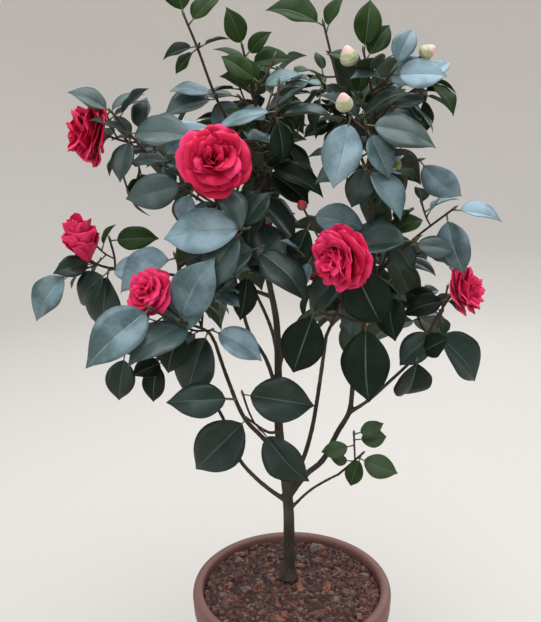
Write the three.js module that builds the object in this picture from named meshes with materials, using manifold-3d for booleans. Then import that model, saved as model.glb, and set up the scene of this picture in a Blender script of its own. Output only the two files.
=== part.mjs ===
// Camellia shrub in its round pot, at real size.
// Millimetres, +Z up, origin at the centre of the pot's underside.
// The shrub's front faces -Y and its right-hand side is +X.

import * as THREE from 'three';
import { mergeVertices } from 'three/addons/utils/BufferGeometryUtils.js';
import Module from 'manifold-3d';

const wasm = await Module();
wasm.setup();

// Pot and growing mix
const POT_HEIGHT = 230;
const POT_RIM_RADIUS = 145;
const POT_MOUTH_RADIUS = 130;
const POT_COLLAR_HEIGHT = 36;
const POT_SHOULDER_RADIUS = 133;
const POT_FOOT_RADIUS = 98;
const POT_WALL = 6;
const POT_FLOOR = 7;
const POT_SIDES = 32;
const DRAIN_RADIUS = 8;
const DRAIN_CIRCLE = 55;
const DRAIN_COUNT = 4;
const MIX_TOP = 222;
const MIX_RIPPLE = 3;
const MIX_COLLAR = 24;

// Clearances between neighbouring pieces
const SEAT_GAP = 0.3;
const LEAF_GAP = 6;
const TWIG_GAP = 3;

// Trunk
const TRUNK_FOOT_DIAMETER = 19.5;
const TRUNK_TOP_DIAMETER = 6;
const FLARE_EXTRA = 4.5;
const FLARE_HEIGHT = 26;

// Twigs, leaves and blossom
const TWIG_TIP_RADIUS = 1.4;
const TWIG_FORK_SHARE = 0.8;
const LEAF_SPACING = 9;
const PETIOLE = 9;
const STALK_RADIUS = 0.8;
const LEAF_LENGTH = 82;
const AIMED_SCALE = 1.06;
const LEAF_WIDTH_SHARE = 0.68;
const LEAF_KEEL = 0.8;
const LEAF_ARCH = 0.2;
const LEAF_FOLD = 0.22;
const LEAF_ROLL = 40;
const LEAF_TURN = 144;
const LEAF_SPREAD = 58;
const BLOSSOM_DEPTH_SHARE = 0.55;

// Blades turn from the sky to the front by these degrees, the low ones more than the high ones
const LOW_LIGHT = { height: 480, turned: 66 };
const HIGH_LIGHT = { height: 900, turned: 32 };
const REAR_LIGHT = new THREE.Vector3(0, 0.5, 0.85);

// Colours
const POT_COLOUR = 0x7a5248;
const MIX_COLOUR = 0x4a2f26;
const BARK_COLOUR = 0x4b3a2c;
const LEAF_COLOUR = 0x2c4a3c;

// Each limb: where it springs from, the places it passes through, and its two diameters
const LIMBS = [
  { name: 'trunk', from: null, diameters: [TRUNK_FOOT_DIAMETER, TRUNK_TOP_DIAMETER], sides: 10,
    route: [[-3, 22, MIX_TOP + SEAT_GAP], [-3, 22, 246], [-4, 12, 354], [-16, 12, 466],
      [-16, 12, 554], [-18, 12, 623], [-31, 12, 701], [-34, 12, 786]] },
  { name: 'right_bough', from: 'trunk', diameters: [9, 5.5], sides: 6,
    route: [[-4, 10, 360], [22, 0, 400], [44, -6, 423], [65, -15, 470], [80, -20, 501],
      [84, -24, 540], [92, -30, 600], [109, -36, 685]] },
  { name: 'middle_right_bough', from: 'trunk', diameters: [7.5, 5], sides: 6,
    route: [[-5, 12, 368], [8, 6, 398], [20, 0, 430], [30, -8, 473], [36, -16, 514],
      [42, -26, 565], [47, -38, 614]] },
  { name: 'low_left_bough', from: 'trunk', diameters: [6.8, 4.5], sides: 6,
    route: [[-5, 12, 352], [-30, 2, 376], [-52, -12, 404], [-71, -22, 434], [-91, -40, 502],
      [-108, -52, 540]] },
  { name: 'left_bough', from: 'trunk', diameters: [7.5, 4.8], sides: 6,
    route: [[-10, 12, 412], [-37, 0, 454], [-63, -12, 490], [-83, -35, 553], [-97, -56, 611]] },
  { name: 'middle_left_bough', from: 'trunk', diameters: [6.5, 4.6], sides: 6,
    route: [[-16, 12, 512], [-33, 2, 571], [-54, -8, 610], [-64, -20, 654], [-74, -38, 706]] },
  { name: 'far_left_bough', from: 'trunk', diameters: [5.8, 4.2], sides: 6,
    route: [[-22, 12, 655], [-78, 44, 668], [-150, 44, 680], [-218, 8, 698]] },
  { name: 'upper_left_bough', from: 'trunk', diameters: [5.6, 4.2], sides: 6,
    route: [[-31, 12, 696], [-65, 16, 742], [-106, 6, 780], [-142, -13, 807]] },
  { name: 'upper_right_bough', from: 'right_bough', diameters: [5.2, 4], sides: 6,
    route: [[108, -36, 682], [107, -35, 735], [102, -30, 788], [99, -28, 820]] },
  { name: 'far_right_bough', from: 'right_bough', diameters: [5.2, 4], sides: 6,
    route: [[80, -20, 500], [102, -35, 521], [131, -45, 553], [155, -50, 580], [174, -52, 610]] },
  { name: 'low_right_bough', from: 'trunk', diameters: [4.6, 3.6], sides: 6,
    route: [[-3, 12, 338], [26, 0, 374], [48, -8, 393], [68, -16, 408]] },
  { name: 'rear_left_bough', from: 'trunk', diameters: [6.6, 4.4], sides: 6,
    route: [[-15, 12, 540], [-22, 44, 592], [-44, 82, 640], [-68, 100, 682]] },
  { name: 'rear_right_bough', from: 'trunk', diameters: [6.6, 4.4], sides: 6,
    route: [[-16, 12, 552], [-2, 48, 584], [32, 84, 612], [66, 102, 640]] },
  { name: 'rear_bough', from: 'trunk', diameters: [5.4, 4.2], sides: 6,
    route: [[-20, 12, 640], [-30, 52, 700], [-44, 80, 770]] },
];

// Each mass of foliage grows from the tip of one limb. Its first shoot is the stem and the
// others fork from it. A shoot has its tip, the places it passes by, and its leaves: the
// hour-hand angle that each one points to, seen from the front, its length and, where it shows
// its face, how far it turns from the sky to the front, and where it is seen on its edge, its
// roll. 'more' counts further leaves, set round the shoot by the rule. A blossom or bud sits on
// the tip, and 'deep' is the share of its width that a half-open blossom is deep.
const MASSES = [
  { name: 'top_left_foliage', on: 'trunk', shoots: [
    { by: [[-52, 8, 838], [-90, -10, 915], [-110, -20, 972]], to: [-124, -28, 1008],
      leaves: [[345, 58, 60], [40, 46, 60]] },
    { to: [-108, -26, 974], leaves: [[262, 34], [63, 28], [236, 30]] },
    { to: [-88, -22, 916], leaves: [[290, 44], [266, 54]] },
  ] },
  { name: 'top_foliage', on: 'trunk', shoots: [
    { by: [[-30, 4, 850], [-42, -6, 910]], to: [-55, -18, 972],
      leaves: [[335, 38, 80], [40, 32, 80], [76, 44, 50]] },
    { to: [-34, -46, 928], leaves: [[308, 42, 70], [62, 40, 60], [345, 30]] },
    { to: [-14, -92, 893], leaves: [[268, 64], [165, 42], [75, 56]] },
    { to: [-62, 22, 918], leaves: [[285, 50], [246, 46, 60]], more: 1 },
    { to: [-20, 52, 925], leaves: [], more: 2 },
  ] },
  { name: 'top_middle_foliage', on: 'upper_right_bough', shoots: [
    { by: [[84, -8, 862], [66, 6, 925]], to: [46, 12, 1003], leaves: [[298, 60], [16, 36]] },
    { to: [34, -58, 935], leaves: [[252, 66, 50], [130, 42], [232, 56], [316, 34]] },
  ] },
  { name: 'top_right_foliage', on: 'upper_right_bough', shoots: [
    { by: [[106, -32, 890]], to: [90, -42, 962],
      leaves: [[6, 48, 70], [30, 40], [312, 40], [340, 50]] },
    { to: [73, -58, 946], leaves: [], bud: 24, face: [-0.3, -0.4, 0.9] },
    { to: [122, -76, 938], leaves: [[20, 40], [84, 50, 75], [285, 34], [60, 46, 70]] },
    { to: [154, -62, 954], leaves: [], bud: 20, face: [0.8, -0.3, 0.5] },
    { to: [82, -86, 884], leaves: [[46, 46], [312, 46]] },
    { to: [118, -74, 900], leaves: [[160, 40], [70, 34], [100, 48]] },
    { to: [100, 30, 905], leaves: [], more: 3 },
    { by: [[140, -58, 912]], to: [162, -66, 926], leaves: [[128, 38]] },
  ] },
  { name: 'upper_right_foliage', on: 'upper_right_bough', shoots: [
    { by: [[96, -70, 846]], to: [84, -116, 876], leaves: [[97, 68, 40], [152, 48]] },
    { to: [62, -108, 892], leaves: [[196, 66, 72]], bud: 22, face: [-0.2, -0.5, 0.8] },
    { to: [86, -106, 828], leaves: [[136, 58, 45], [266, 50, 42], [205, 46]] },
    { by: [[128, -56, 832]], to: [156, -62, 836], leaves: [[140, 58, 40, 74]] },
    { to: [112, 16, 848], leaves: [], more: 2 },
    { to: [126, -76, 834], leaves: [], bud: 12, face: [0.2, -0.4, -0.6] },
  ] },
  { name: 'right_foliage', on: 'right_bough', shoots: [
    { by: [[124, -52, 712]], to: [148, -86, 742], leaves: [[273, 84, 22], [92, 42]] },
    { to: [112, -66, 752], leaves: [[138, 52], [62, 46], [28, 44], [300, 46]] },
    { by: [[164, -40, 744]], to: [200, -58, 776], leaves: [[92, 48], [170, 62, 60, 50]] },
    { to: [130, 40, 730], leaves: [], more: 2 },
  ] },
  { name: 'far_right_foliage', on: 'far_right_bough', shoots: [
    { by: [[188, -50, 640]], to: [208, -42, 668], face: [0.85, -0.4, 0.32], blossom: 70,
      leaves: [[262, 46], [112, 42], [314, 44]] },
    { to: [183, -74, 628], leaves: [[231, 52], [130, 78]] },
    { to: [158, -82, 594], leaves: [[190, 74], [20, 40]] },
    { to: [174, 8, 628], leaves: [], more: 2 },
  ] },
  { name: 'middle_right_foliage', on: 'middle_right_bough', shoots: [
    { by: [[56, -66, 646], [66, -94, 680]], to: [70, -118, 732], face: [-0.72, -0.62, -0.2],
      blossom: 84, leaves: [[160, 78, 70], [238, 74]] },
    { to: [29, -86, 658], leaves: [[200, 74, 70], [262, 44]] },
    { to: [92, -90, 642], leaves: [[184, 82, 74]] },
    { to: [118, -70, 688], leaves: [[174, 60]] },
    { to: [16, -74, 781], leaves: [[98, 60, 52], [206, 50]], bud: 14, face: [-0.3, -0.6, 0.7] },
  ] },
  { name: 'left_foliage', on: 'left_bough', shoots: [
    { by: [[-104, -70, 628]], to: [-134, -112, 652], leaves: [[18, 72, 60], [205, 56], [262, 80, 50]] },
    { to: [-98, -84, 634], leaves: [[112, 58, 62], [204, 78, 70]] },
    { by: [[-128, -70, 684]], to: [-142, -62, 722], leaves: [[257, 80, 46], [60, 40]] },
    { to: [-164, -128, 672], leaves: [[226, 82, 62], [192, 46, 70]] },
    { to: [-164, -92, 680], leaves: [], blossom: 62, face: [-0.45, -0.78, 0.42] },
    { to: [-104, -88, 704], leaves: [[222, 74, 56], [62, 44]] },
  ] },
  { name: 'low_left_foliage', on: 'low_left_bough', shoots: [
    { by: [[-126, -56, 562]], to: [-170, -58, 592], leaves: [[194, 48], [262, 38]] },
    { to: [-72, -108, 552], leaves: [[278, 64, 58]] },
    { by: [[-180, -62, 592]], to: [-212, -62, 600], leaves: [[190, 50], [300, 46]] },
  ] },
  { name: 'far_left_foliage', on: 'far_left_bough', shoots: [
    { by: [[-238, -2, 700]], to: [-261, -22, 712], face: [-0.12, -0.3, 0.95], blossom: 52,
      deep: 1.1, leaves: [[262, 40]] },
    { to: [-236, -22, 698], leaves: [[242, 58], [204, 86], [84, 54]] },
    { to: [-288, -26, 700], leaves: [[222, 62]] },
    { by: [[-230, -8, 716]], to: [-233, -14, 738], leaves: [[82, 50]] },
  ] },
  { name: 'upper_left_foliage', on: 'upper_left_bough', shoots: [
    { by: [[-160, -30, 832], [-178, -42, 852]], to: [-212, -52, 896],
      leaves: [[307, 42, 40], [36, 40], [294, 48, 12]] },
    { to: [-192, -60, 871], leaves: [[84, 68], [250, 40, 70], [200, 44], [305, 44]] },
    { to: [-206, -46, 834], leaves: [[173, 54, 40, 82], [66, 44]] },
    { to: [-156, -58, 842], leaves: [[52, 56], [100, 44]] },
    { by: [[-200, -34, 862]], to: [-224, -40, 870], leaves: [], blossom: 84,
      face: [-0.88, -0.42, 0.12] },
    { to: [-150, 30, 866], leaves: [], more: 1 },
  ] },
  { name: 'middle_left_foliage', on: 'middle_left_bough', shoots: [
    { by: [[-80, -70, 745], [-84, -92, 788]], to: [-86, -108, 833], face: [0.05, -0.94, 0.32],
      blossom: 85, leaves: [[304, 56], [140, 50], [110, 60]] },
    { to: [-122, -76, 812], leaves: [[254, 62, 70], [206, 40]] },
    { to: [-50, -118, 762], leaves: [[274, 86, 54], [226, 70, 66], [32, 46]] },
    { to: [-36, -96, 738], leaves: [[250, 66, 56], [116, 72, 44], [78, 46]] },
    { to: [-53, -52, 702], leaves: [[186, 50], [78, 40]] },
  ] },
  { name: 'middle_foliage', on: 'trunk', shoots: [
    { by: [[-30, -14, 806]], to: [-30, -56, 832], leaves: [[106, 66], [126, 56], [64, 40]] },
    { to: [-40, -62, 796], leaves: [[134, 62], [194, 58], [238, 54]] },
    { to: [-58, -84, 862], leaves: [[102, 66], [278, 60]] },
    { to: [-40, -46, 762], leaves: [[196, 60], [150, 62], [100, 44]] },
    { to: [-10, 30, 840], leaves: [], more: 2 },
  ] },
  { name: 'low_middle_foliage', on: 'trunk', at: [-14, 12, 462], shoots: [
    { by: [[-30, -24, 474]], to: [-58, -58, 508], leaves: [[228, 84, 74]] },
    { to: [-62, -72, 546], leaves: [[97, 78, 56]] },
    { to: [-38, -66, 493], leaves: [[140, 72, 72]] },
  ] },
  { name: 'low_right_foliage', on: 'low_right_bough', shoots: [
    { by: [[80, -24, 424]], to: [96, -36, 446], leaves: [[205, 36], [104, 44], [282, 20]] },
    { to: [84, -44, 478], leaves: [[66, 30], [84, 34], [258, 34]] },
  ] },
  { name: 'rear_left_foliage', on: 'rear_left_bough', rear: true, shoots: [
    { by: [[-78, 110, 722]], to: [-84, 122, 770], leaves: [], more: 5 },
    { to: [-116, 100, 738], leaves: [], more: 4 },
    { to: [-58, 152, 734], leaves: [], more: 4, blossom: 84, face: [-0.2, 0.9, 0.35] },
    { to: [-98, 112, 684], leaves: [], more: 4 },
  ] },
  { name: 'rear_right_foliage', on: 'rear_right_bough', rear: true, shoots: [
    { by: [[78, 112, 664]], to: [88, 122, 704], leaves: [], more: 5 },
    { to: [126, 104, 664], leaves: [], more: 4 },
    { to: [58, 148, 672], leaves: [], more: 4, blossom: 78, face: [0.25, 0.9, 0.3] },
    { to: [104, 112, 606], leaves: [], more: 4 },
  ] },
  { name: 'rear_top_foliage', on: 'rear_bough', rear: true, shoots: [
    { by: [[-54, 98, 824]], to: [-62, 112, 892], leaves: [], more: 6 },
    { to: [-102, 100, 866], leaves: [], more: 5 },
    { to: [-22, 104, 868], leaves: [], more: 5 },
    { to: [-60, 152, 838], leaves: [], more: 5, blossom: 80, face: [0.1, 0.85, 0.5] },
  ] },
];

// A repeatable source of numbers between 0 and 1
function seededNumbers(seed) {
  let state = seed >>> 0;
  return () => {
    state = (Math.imul(state, 1664525) + 1013904223) >>> 0;
    return state / 4294967296;
  };
}

function vector(place) {
  return new THREE.Vector3(...place);
}

// Solids

function toSolid(geometry) {
  geometry.deleteAttribute('normal');
  geometry.deleteAttribute('uv');
  const merged = mergeVertices(geometry, 1e-4);
  return new wasm.Manifold(new wasm.Mesh({
    numProp: 3,
    vertProperties: new Float32Array(merged.attributes.position.array),
    triVerts: new Uint32Array(merged.index.array),
  }));
}

function toMesh(name, solid, colour, roughness) {
  const result = solid.getMesh();
  const geometry = new THREE.BufferGeometry();
  geometry.setAttribute('position', new THREE.BufferAttribute(result.vertProperties, 3));
  geometry.setIndex(new THREE.BufferAttribute(result.triVerts, 1));
  geometry.computeVertexNormals();
  const material = new THREE.MeshStandardMaterial({ color: colour, roughness, metalness: 0 });
  const mesh = new THREE.Mesh(geometry, material);
  mesh.name = name;
  return mesh;
}

// The largest piece of a solid, so that no loose scrap is kept
function largestPiece(solid) {
  return solid.decompose().reduce((best, piece) => (piece.volume() > best.volume() ? piece : best));
}

// A closed tube bent along a curve, its radius worked out from the share of the way along
function bentTube(curve, radiusAt, sides, steps) {
  const tube = new THREE.CylinderGeometry(1, 1, 1, sides, steps);
  const frames = curve.computeFrenetFrames(steps, false);
  const places = tube.attributes.position;
  for (let i = 0; i < places.count; i += 1) {
    const row = Math.round((places.getY(i) + 0.5) * steps);
    const radius = radiusAt(row / steps);
    const place = curve.getPointAt(row / steps)
      .addScaledVector(frames.normals[row], places.getX(i) * radius)
      .addScaledVector(frames.binormals[row], -places.getZ(i) * radius);
    places.setXYZ(i, place.x, place.y, place.z);
  }
  return toSolid(tube);
}

// A lathed solid standing on Z
function turnedSolid(profile, sides) {
  const outline = profile.map(([radius, height]) => new THREE.Vector2(radius, height));
  const turned = new THREE.LatheGeometry(outline, sides);
  turned.rotateX(Math.PI / 2);
  return toSolid(turned);
}

// Pot: a thick rolled collar over a tapered wall, with a flat foot and drain holes

function potSolid() {
  const collarFoot = POT_HEIGHT - POT_COLLAR_HEIGHT;
  const roll = 4;
  const shell = turnedSolid([
    [0, 0], [POT_FOOT_RADIUS - 4, 0], [POT_FOOT_RADIUS, 4],
    [POT_SHOULDER_RADIUS, collarFoot],
    [POT_RIM_RADIUS - 3, collarFoot + 1], [POT_RIM_RADIUS - 1, collarFoot + 4],
    [POT_RIM_RADIUS, POT_HEIGHT - 7], [POT_RIM_RADIUS - 2, POT_HEIGHT - 2],
    [POT_RIM_RADIUS - 5, POT_HEIGHT], [POT_MOUTH_RADIUS + roll, POT_HEIGHT],
    [POT_MOUTH_RADIUS, POT_HEIGHT - roll], [POT_MOUTH_RADIUS - 1, collarFoot],
    [POT_FOOT_RADIUS - POT_WALL, POT_FLOOR + 3], [POT_FOOT_RADIUS - POT_WALL - 3, POT_FLOOR],
    [0, POT_FLOOR],
  ], POT_SIDES);
  let pot = shell;
  for (let i = 0; i < DRAIN_COUNT; i += 1) {
    const angle = ((i + 0.5) / DRAIN_COUNT) * 2 * Math.PI;
    const drill = new THREE.CylinderGeometry(DRAIN_RADIUS, DRAIN_RADIUS, 4 * POT_FLOOR, 12);
    drill.rotateX(Math.PI / 2);
    drill.translate(DRAIN_CIRCLE * Math.cos(angle), DRAIN_CIRCLE * Math.sin(angle), 0);
    pot = pot.subtract(toSolid(drill));
  }
  return pot;
}

// Growing mix: fills the pot, with a lightly uneven top that is level round the trunk's foot
function mixSolid() {
  const trunkFoot = vector(LIMBS[0].route[0]);
  const collarFoot = POT_HEIGHT - POT_COLLAR_HEIGHT;
  const rings = [0.9, 0.62, 0.34];
  const edge = POT_MOUTH_RADIUS - 1 - SEAT_GAP;
  const mix = new THREE.LatheGeometry([
    [0, POT_FLOOR + SEAT_GAP],
    [POT_FOOT_RADIUS - POT_WALL - 3 - SEAT_GAP, POT_FLOOR + SEAT_GAP],
    [POT_FOOT_RADIUS - POT_WALL - SEAT_GAP, POT_FLOOR + 3 + SEAT_GAP],
    [edge, collarFoot], [edge, MIX_TOP - 5],
    ...rings.map((share) => [edge * share, MIX_TOP]),
    [0, MIX_TOP],
  ].map(([radius, height]) => new THREE.Vector2(radius, height)), POT_SIDES);
  mix.rotateX(Math.PI / 2);
  const places = mix.attributes.position;
  for (let i = 0; i < places.count; i += 1) {
    const x = places.getX(i);
    const y = places.getY(i);
    if (places.getZ(i) < MIX_TOP - 1) continue;
    const away = Math.hypot(x - trunkFoot.x, y - trunkFoot.y);
    const share = Math.min(Math.max((away - MIX_COLLAR) / 20, 0), 1);
    const ripple = Math.sin(x * 0.11 + 1.3) * Math.cos(y * 0.13) + 0.5 * Math.sin(x * 0.23 - y * 0.19);
    places.setZ(i, MIX_TOP + MIX_RIPPLE * share * (ripple - 1.5));
  }
  return toSolid(mix);
}

// Limbs

function limbRadius(limb, share) {
  const [from, to] = limb.diameters;
  const height = share * limb.curve.getLength();
  const flare = limb.from ? 0 : FLARE_EXTRA * Math.max(0, 1 - height / FLARE_HEIGHT) ** 2;
  return (from + (to - from) * share ** 0.8) / 2 + flare;
}

function limbSteps(limb) {
  return Math.max(5, Math.round(limb.curve.getLength() / 32));
}

// The limb's solid, made thicker and longer by 'grow' where it is used to trim its neighbours
function limbSolid(limb, grow) {
  const route = limb.route.map(vector);
  if (grow > 0) {
    const end = route[route.length - 1];
    const before = route[route.length - 2];
    end.add(end.clone().sub(before).setLength(grow));
  }
  const curve = new THREE.CatmullRomCurve3(route, false, 'centripetal');
  return bentTube(curve, (share) => limbRadius(limb, share) + grow, limb.sides, limbSteps(limb));
}

// Straight stretches of a curve with their radii, for the clearance rule
function stretches(curve, radiusAt, count, owner) {
  const list = [];
  for (let i = 0; i < count; i += 1) {
    list.push({
      a: curve.getPointAt(i / count),
      b: curve.getPointAt((i + 1) / count),
      radius: radiusAt((i + 0.5) / count),
      owner,
    });
  }
  return list;
}

function distanceToStretch(point, stretch) {
  const along = stretch.b.clone().sub(stretch.a);
  const share = point.clone().sub(stretch.a).dot(along) / along.lengthSq();
  const nearest = stretch.a.clone().addScaledVector(along, Math.min(Math.max(share, 0), 1));
  return nearest.distanceTo(point);
}

// Leaves, each a closed blade of three sides: two edges and the keel of its midrib

// Half the blade's width, as a share of the greatest, at a share of the way from stalk to tip
function leafOutline(share) {
  return Math.max(Math.sin(Math.PI * share ** 0.92), 0) ** 0.75 * (1 - 0.3 * share ** 8);
}

// What a blade on the front turns its face to: from the sky by its own angle, or by its height
function frontLight(height, turned) {
  const share = (height - LOW_LIGHT.height) / (HIGH_LIGHT.height - LOW_LIGHT.height);
  const usual = THREE.MathUtils.lerp(
    LOW_LIGHT.turned, HIGH_LIGHT.turned, THREE.MathUtils.clamp(share, 0, 1),
  );
  const angle = THREE.MathUtils.degToRad(turned ?? usual);
  return new THREE.Vector3(0, -Math.sin(angle), Math.cos(angle));
}

// A leaf's own axes: along the blade, across it, and out of its upper face
function leafAxes(direction, light, roll) {
  const up = light.clone().addScaledVector(direction, -light.dot(direction));
  if (up.length() < 0.15) up.set(0, 0, 1).addScaledVector(direction, -direction.z);
  up.normalize().applyAxisAngle(direction, THREE.MathUtils.degToRad(roll));
  return { along: direction, up, across: direction.clone().cross(up) };
}

// A place on the blade: 'out' millimetres from the twig, 'side' across and 'lift' above it
function leafPlace(leaf, out, side, lift) {
  const rise = lift + LEAF_FOLD * Math.abs(side) - LEAF_ARCH * (out * out) / leaf.reach;
  return leaf.root.clone()
    .addScaledVector(leaf.along, out)
    .addScaledVector(leaf.across, side)
    .addScaledVector(leaf.up, rise);
}

const SAMPLE_SHARES = [0.1, 0.28, 0.46, 0.64, 0.82, 1];
const SAMPLE_SIDES = [-1, -0.5, 0, 0.5, 1];

function makeLeaf(root, direction, light, roll, length, widthShare, owner) {
  const leaf = { root, ...leafAxes(direction, light, roll), length, owner };
  leaf.reach = length + PETIOLE;
  leaf.halfWidth = length * widthShare / 2;
  leaf.samples = [];
  SAMPLE_SHARES.forEach((share) => {
    SAMPLE_SIDES.forEach((side) => {
      const half = leaf.halfWidth * leafOutline(share);
      leaf.samples.push({ share, place: leafPlace(leaf, PETIOLE + length * share, half * side, 0) });
    });
  });
  leaf.middle = leafPlace(leaf, PETIOLE + length / 2, 0, 0);
  return leaf;
}

// Whether a place lies within the slab of air that a leaf keeps to itself
function nearLeaf(place, leaf) {
  const offset = place.clone().sub(leaf.root);
  const out = offset.dot(leaf.along);
  const share = (out - PETIOLE) / leaf.length;
  if (share < -0.05 || share > 1.04) return false;
  const side = offset.dot(leaf.across);
  const half = leaf.halfWidth * leafOutline(Math.min(Math.max(share, 0.02), 1));
  if (Math.abs(side) > half + 3) return false;
  const surface = LEAF_FOLD * Math.abs(side) - LEAF_ARCH * (out * out) / leaf.reach;
  return Math.abs(offset.dot(leaf.up) - surface) < LEAF_GAP;
}

function leavesMeet(one, other) {
  if (one.middle.distanceTo(other.middle) > (one.length + other.length) / 2 + LEAF_GAP) return false;
  return one.samples.some(({ place }) => nearLeaf(place, other))
    || other.samples.some(({ place }) => nearLeaf(place, one));
}

function leafSolid(leaf) {
  const stations = [0, 0.3, 0.66, 1];
  const blade = new THREE.ConeGeometry(1, 1, 3, stations.length - 1, false, Math.PI);
  const places = blade.attributes.position;
  for (let i = 0; i < places.count; i += 1) {
    const row = Math.round((places.getY(i) + 0.5) * (stations.length - 1));
    const share = stations[row];
    const side = Math.sign(Math.round(places.getX(i) * 1000));
    const stalk = row === 0;
    const half = stalk ? STALK_RADIUS : 1.06 * leaf.halfWidth * leafOutline(share);
    const out = stalk ? 0 : PETIOLE + leaf.length * share;
    const keel = side === 0 && row < stations.length - 1;
    const place = leafPlace(leaf, out, side * half, keel ? -LEAF_KEEL : -LEAF_FOLD * half * 0.4);
    places.setXYZ(i, place.x, place.y, place.z);
  }
  return toSolid(blade);
}

// Blossom and buds: a ball reshaped by rows from its face to the point where it joins the twig
const BLOSSOM_ROWS = [[0, 0.62], [0.44, 0.84], [0.84, 1], [1, 0.7], [0.56, 0.24], [0, 0]];
const BUD_ROWS = [[0, 1], [0.34, 0.86], [0.5, 0.5], [0.34, 0.12], [0, 0]];

function headSolid(base, face, width, depth, rows, sides, lobe) {
  const ball = new THREE.SphereGeometry(1, sides, rows.length - 1);
  const helper = Math.abs(face.z) > 0.9 ? new THREE.Vector3(1, 0, 0) : new THREE.Vector3(0, 0, 1);
  const across = helper.clone().cross(face).normalize();
  const over = across.clone().cross(face);
  const places = ball.attributes.position;
  for (let i = 0; i < places.count; i += 1) {
    const row = Math.round(Math.acos(THREE.MathUtils.clamp(places.getY(i), -1, 1)) / Math.PI
      * (rows.length - 1));
    const angle = Math.atan2(places.getZ(i), places.getX(i));
    const spoke = Math.round((angle / (2 * Math.PI)) * sides);
    const [spread, lift] = rows[row];
    const radius = spread * (width / 2) * (spoke % 2 === 0 ? 1 : lobe);
    const place = base.clone()
      .addScaledVector(across, radius * Math.cos(angle))
      .addScaledVector(over, radius * Math.sin(angle))
      .addScaledVector(face, lift * depth - TWIG_TIP_RADIUS);
    places.setXYZ(i, place.x, place.y, place.z);
  }
  return toSolid(ball);
}

// Growth

// How far a limb's tip or a stated place on it is, as the start of a mass's stem
function stemStart(mass, limb) {
  if (mass.at) return vector(mass.at);
  return limb.curve.getPointAt(1).addScaledVector(limb.curve.getTangentAt(1), -2);
}

// A side shoot leaves the stem some way below the place that is nearest to its own tip
function forkShare(stem, tip) {
  let best = 0;
  let least = Infinity;
  for (let i = 0; i <= 40; i += 1) {
    const gap = stem.curve.getPointAt(i / 40).distanceTo(tip);
    if (gap < least) {
      least = gap;
      best = i / 40;
    }
  }
  const back = 0.45 * least / stem.curve.getLength();
  return Math.min(Math.max(best - back, 0.12), 0.95);
}

function growShoots(mass, limb) {
  const shoots = [];
  mass.shoots.forEach((plan, index) => {
    const tip = vector(plan.to);
    const between = (plan.by || []).map(vector);
    let start;
    let thick;
    if (index === 0) {
      start = stemStart(mass, limb);
      thick = mass.at ? 2.3 : Math.min(limb.diameters[1] / 2, 2.4) * 0.9;
    } else {
      const share = forkShare(shoots[0], between[0] || tip);
      start = shoots[0].curve.getPointAt(share);
      thick = shoots[0].radiusAt(share) * TWIG_FORK_SHARE;
    }
    if (between.length === 0) {
      const lift = start.distanceTo(tip) * 0.06;
      between.push(start.clone().lerp(tip, 0.55).add(new THREE.Vector3(0, 0, -lift)));
    }
    const curve = new THREE.CatmullRomCurve3([start, ...between, tip], false, 'centripetal');
    const radiusAt = (share) => thick + (TWIG_TIP_RADIUS - thick) * share;
    const length = curve.getLength();
    const steps = Math.max(2, Math.round(length / 40));
    const owner = `${mass.name}:${index}`;
    shoots.push({ plan, curve, radiusAt, length, steps, owner, index });
  });
  return shoots;
}

// Whether a shoot runs clear of the limbs and of the other masses' shoots past its first stretch
function shootIsClear(shoot, grown) {
  const mass = shoot.owner.split(':')[0];
  return [0.4, 0.55, 0.7, 0.85, 1].every((share) => {
    const place = shoot.curve.getPointAt(share);
    return grown.stretches.every((stretch) => stretch.owner.split(':')[0] === mass
      || distanceToStretch(place, stretch) > shoot.radiusAt(share) + stretch.radius + 1);
  });
}

// The direction of a leaf that is aimed by its angle on the clock and its lean to the front
function aimedDirection(clock, lean) {
  const turn = THREE.MathUtils.degToRad(clock);
  const tilt = THREE.MathUtils.degToRad(lean);
  return new THREE.Vector3(
    Math.sin(turn) * Math.cos(tilt), -Math.sin(tilt), Math.cos(turn) * Math.cos(tilt),
  );
}

// The direction of a leaf that is set round its shoot; those on a front mass turn to the rear
function roundDirection(axis, turn, spread) {
  const helper = Math.abs(axis.z) > 0.9 ? new THREE.Vector3(1, 0, 0) : new THREE.Vector3(0, 0, 1);
  const side = helper.clone().cross(axis).normalize();
  const over = axis.clone().cross(side);
  const angle = THREE.MathUtils.degToRad(turn);
  const open = THREE.MathUtils.degToRad(spread);
  const direction = axis.clone().multiplyScalar(Math.cos(open))
    .addScaledVector(side, Math.sin(open) * Math.cos(angle))
    .addScaledVector(over, Math.sin(open) * Math.sin(angle));
  direction.y = Math.abs(direction.y) + 0.15;
  direction.z -= 0.3;
  return direction.normalize();
}

const TRIES = [0, 1, -1, 2, -2, 3, -3];

function leafIsClear(leaf, grown) {
  const blocked = grown.stretches.some((stretch) => {
    const own = stretch.owner === leaf.owner;
    return leaf.samples.some(({ share, place }) => (!own || share > 0.4)
      && distanceToStretch(place, stretch) < stretch.radius + TWIG_GAP);
  });
  if (blocked) return false;
  if (grown.heads.some((head) => leaf.samples.some(({ place }) => (
    place.distanceTo(head.centre) < head.radius)))) return false;
  return !grown.leaves.some((other) => leavesMeet(leaf, other));
}

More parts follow.
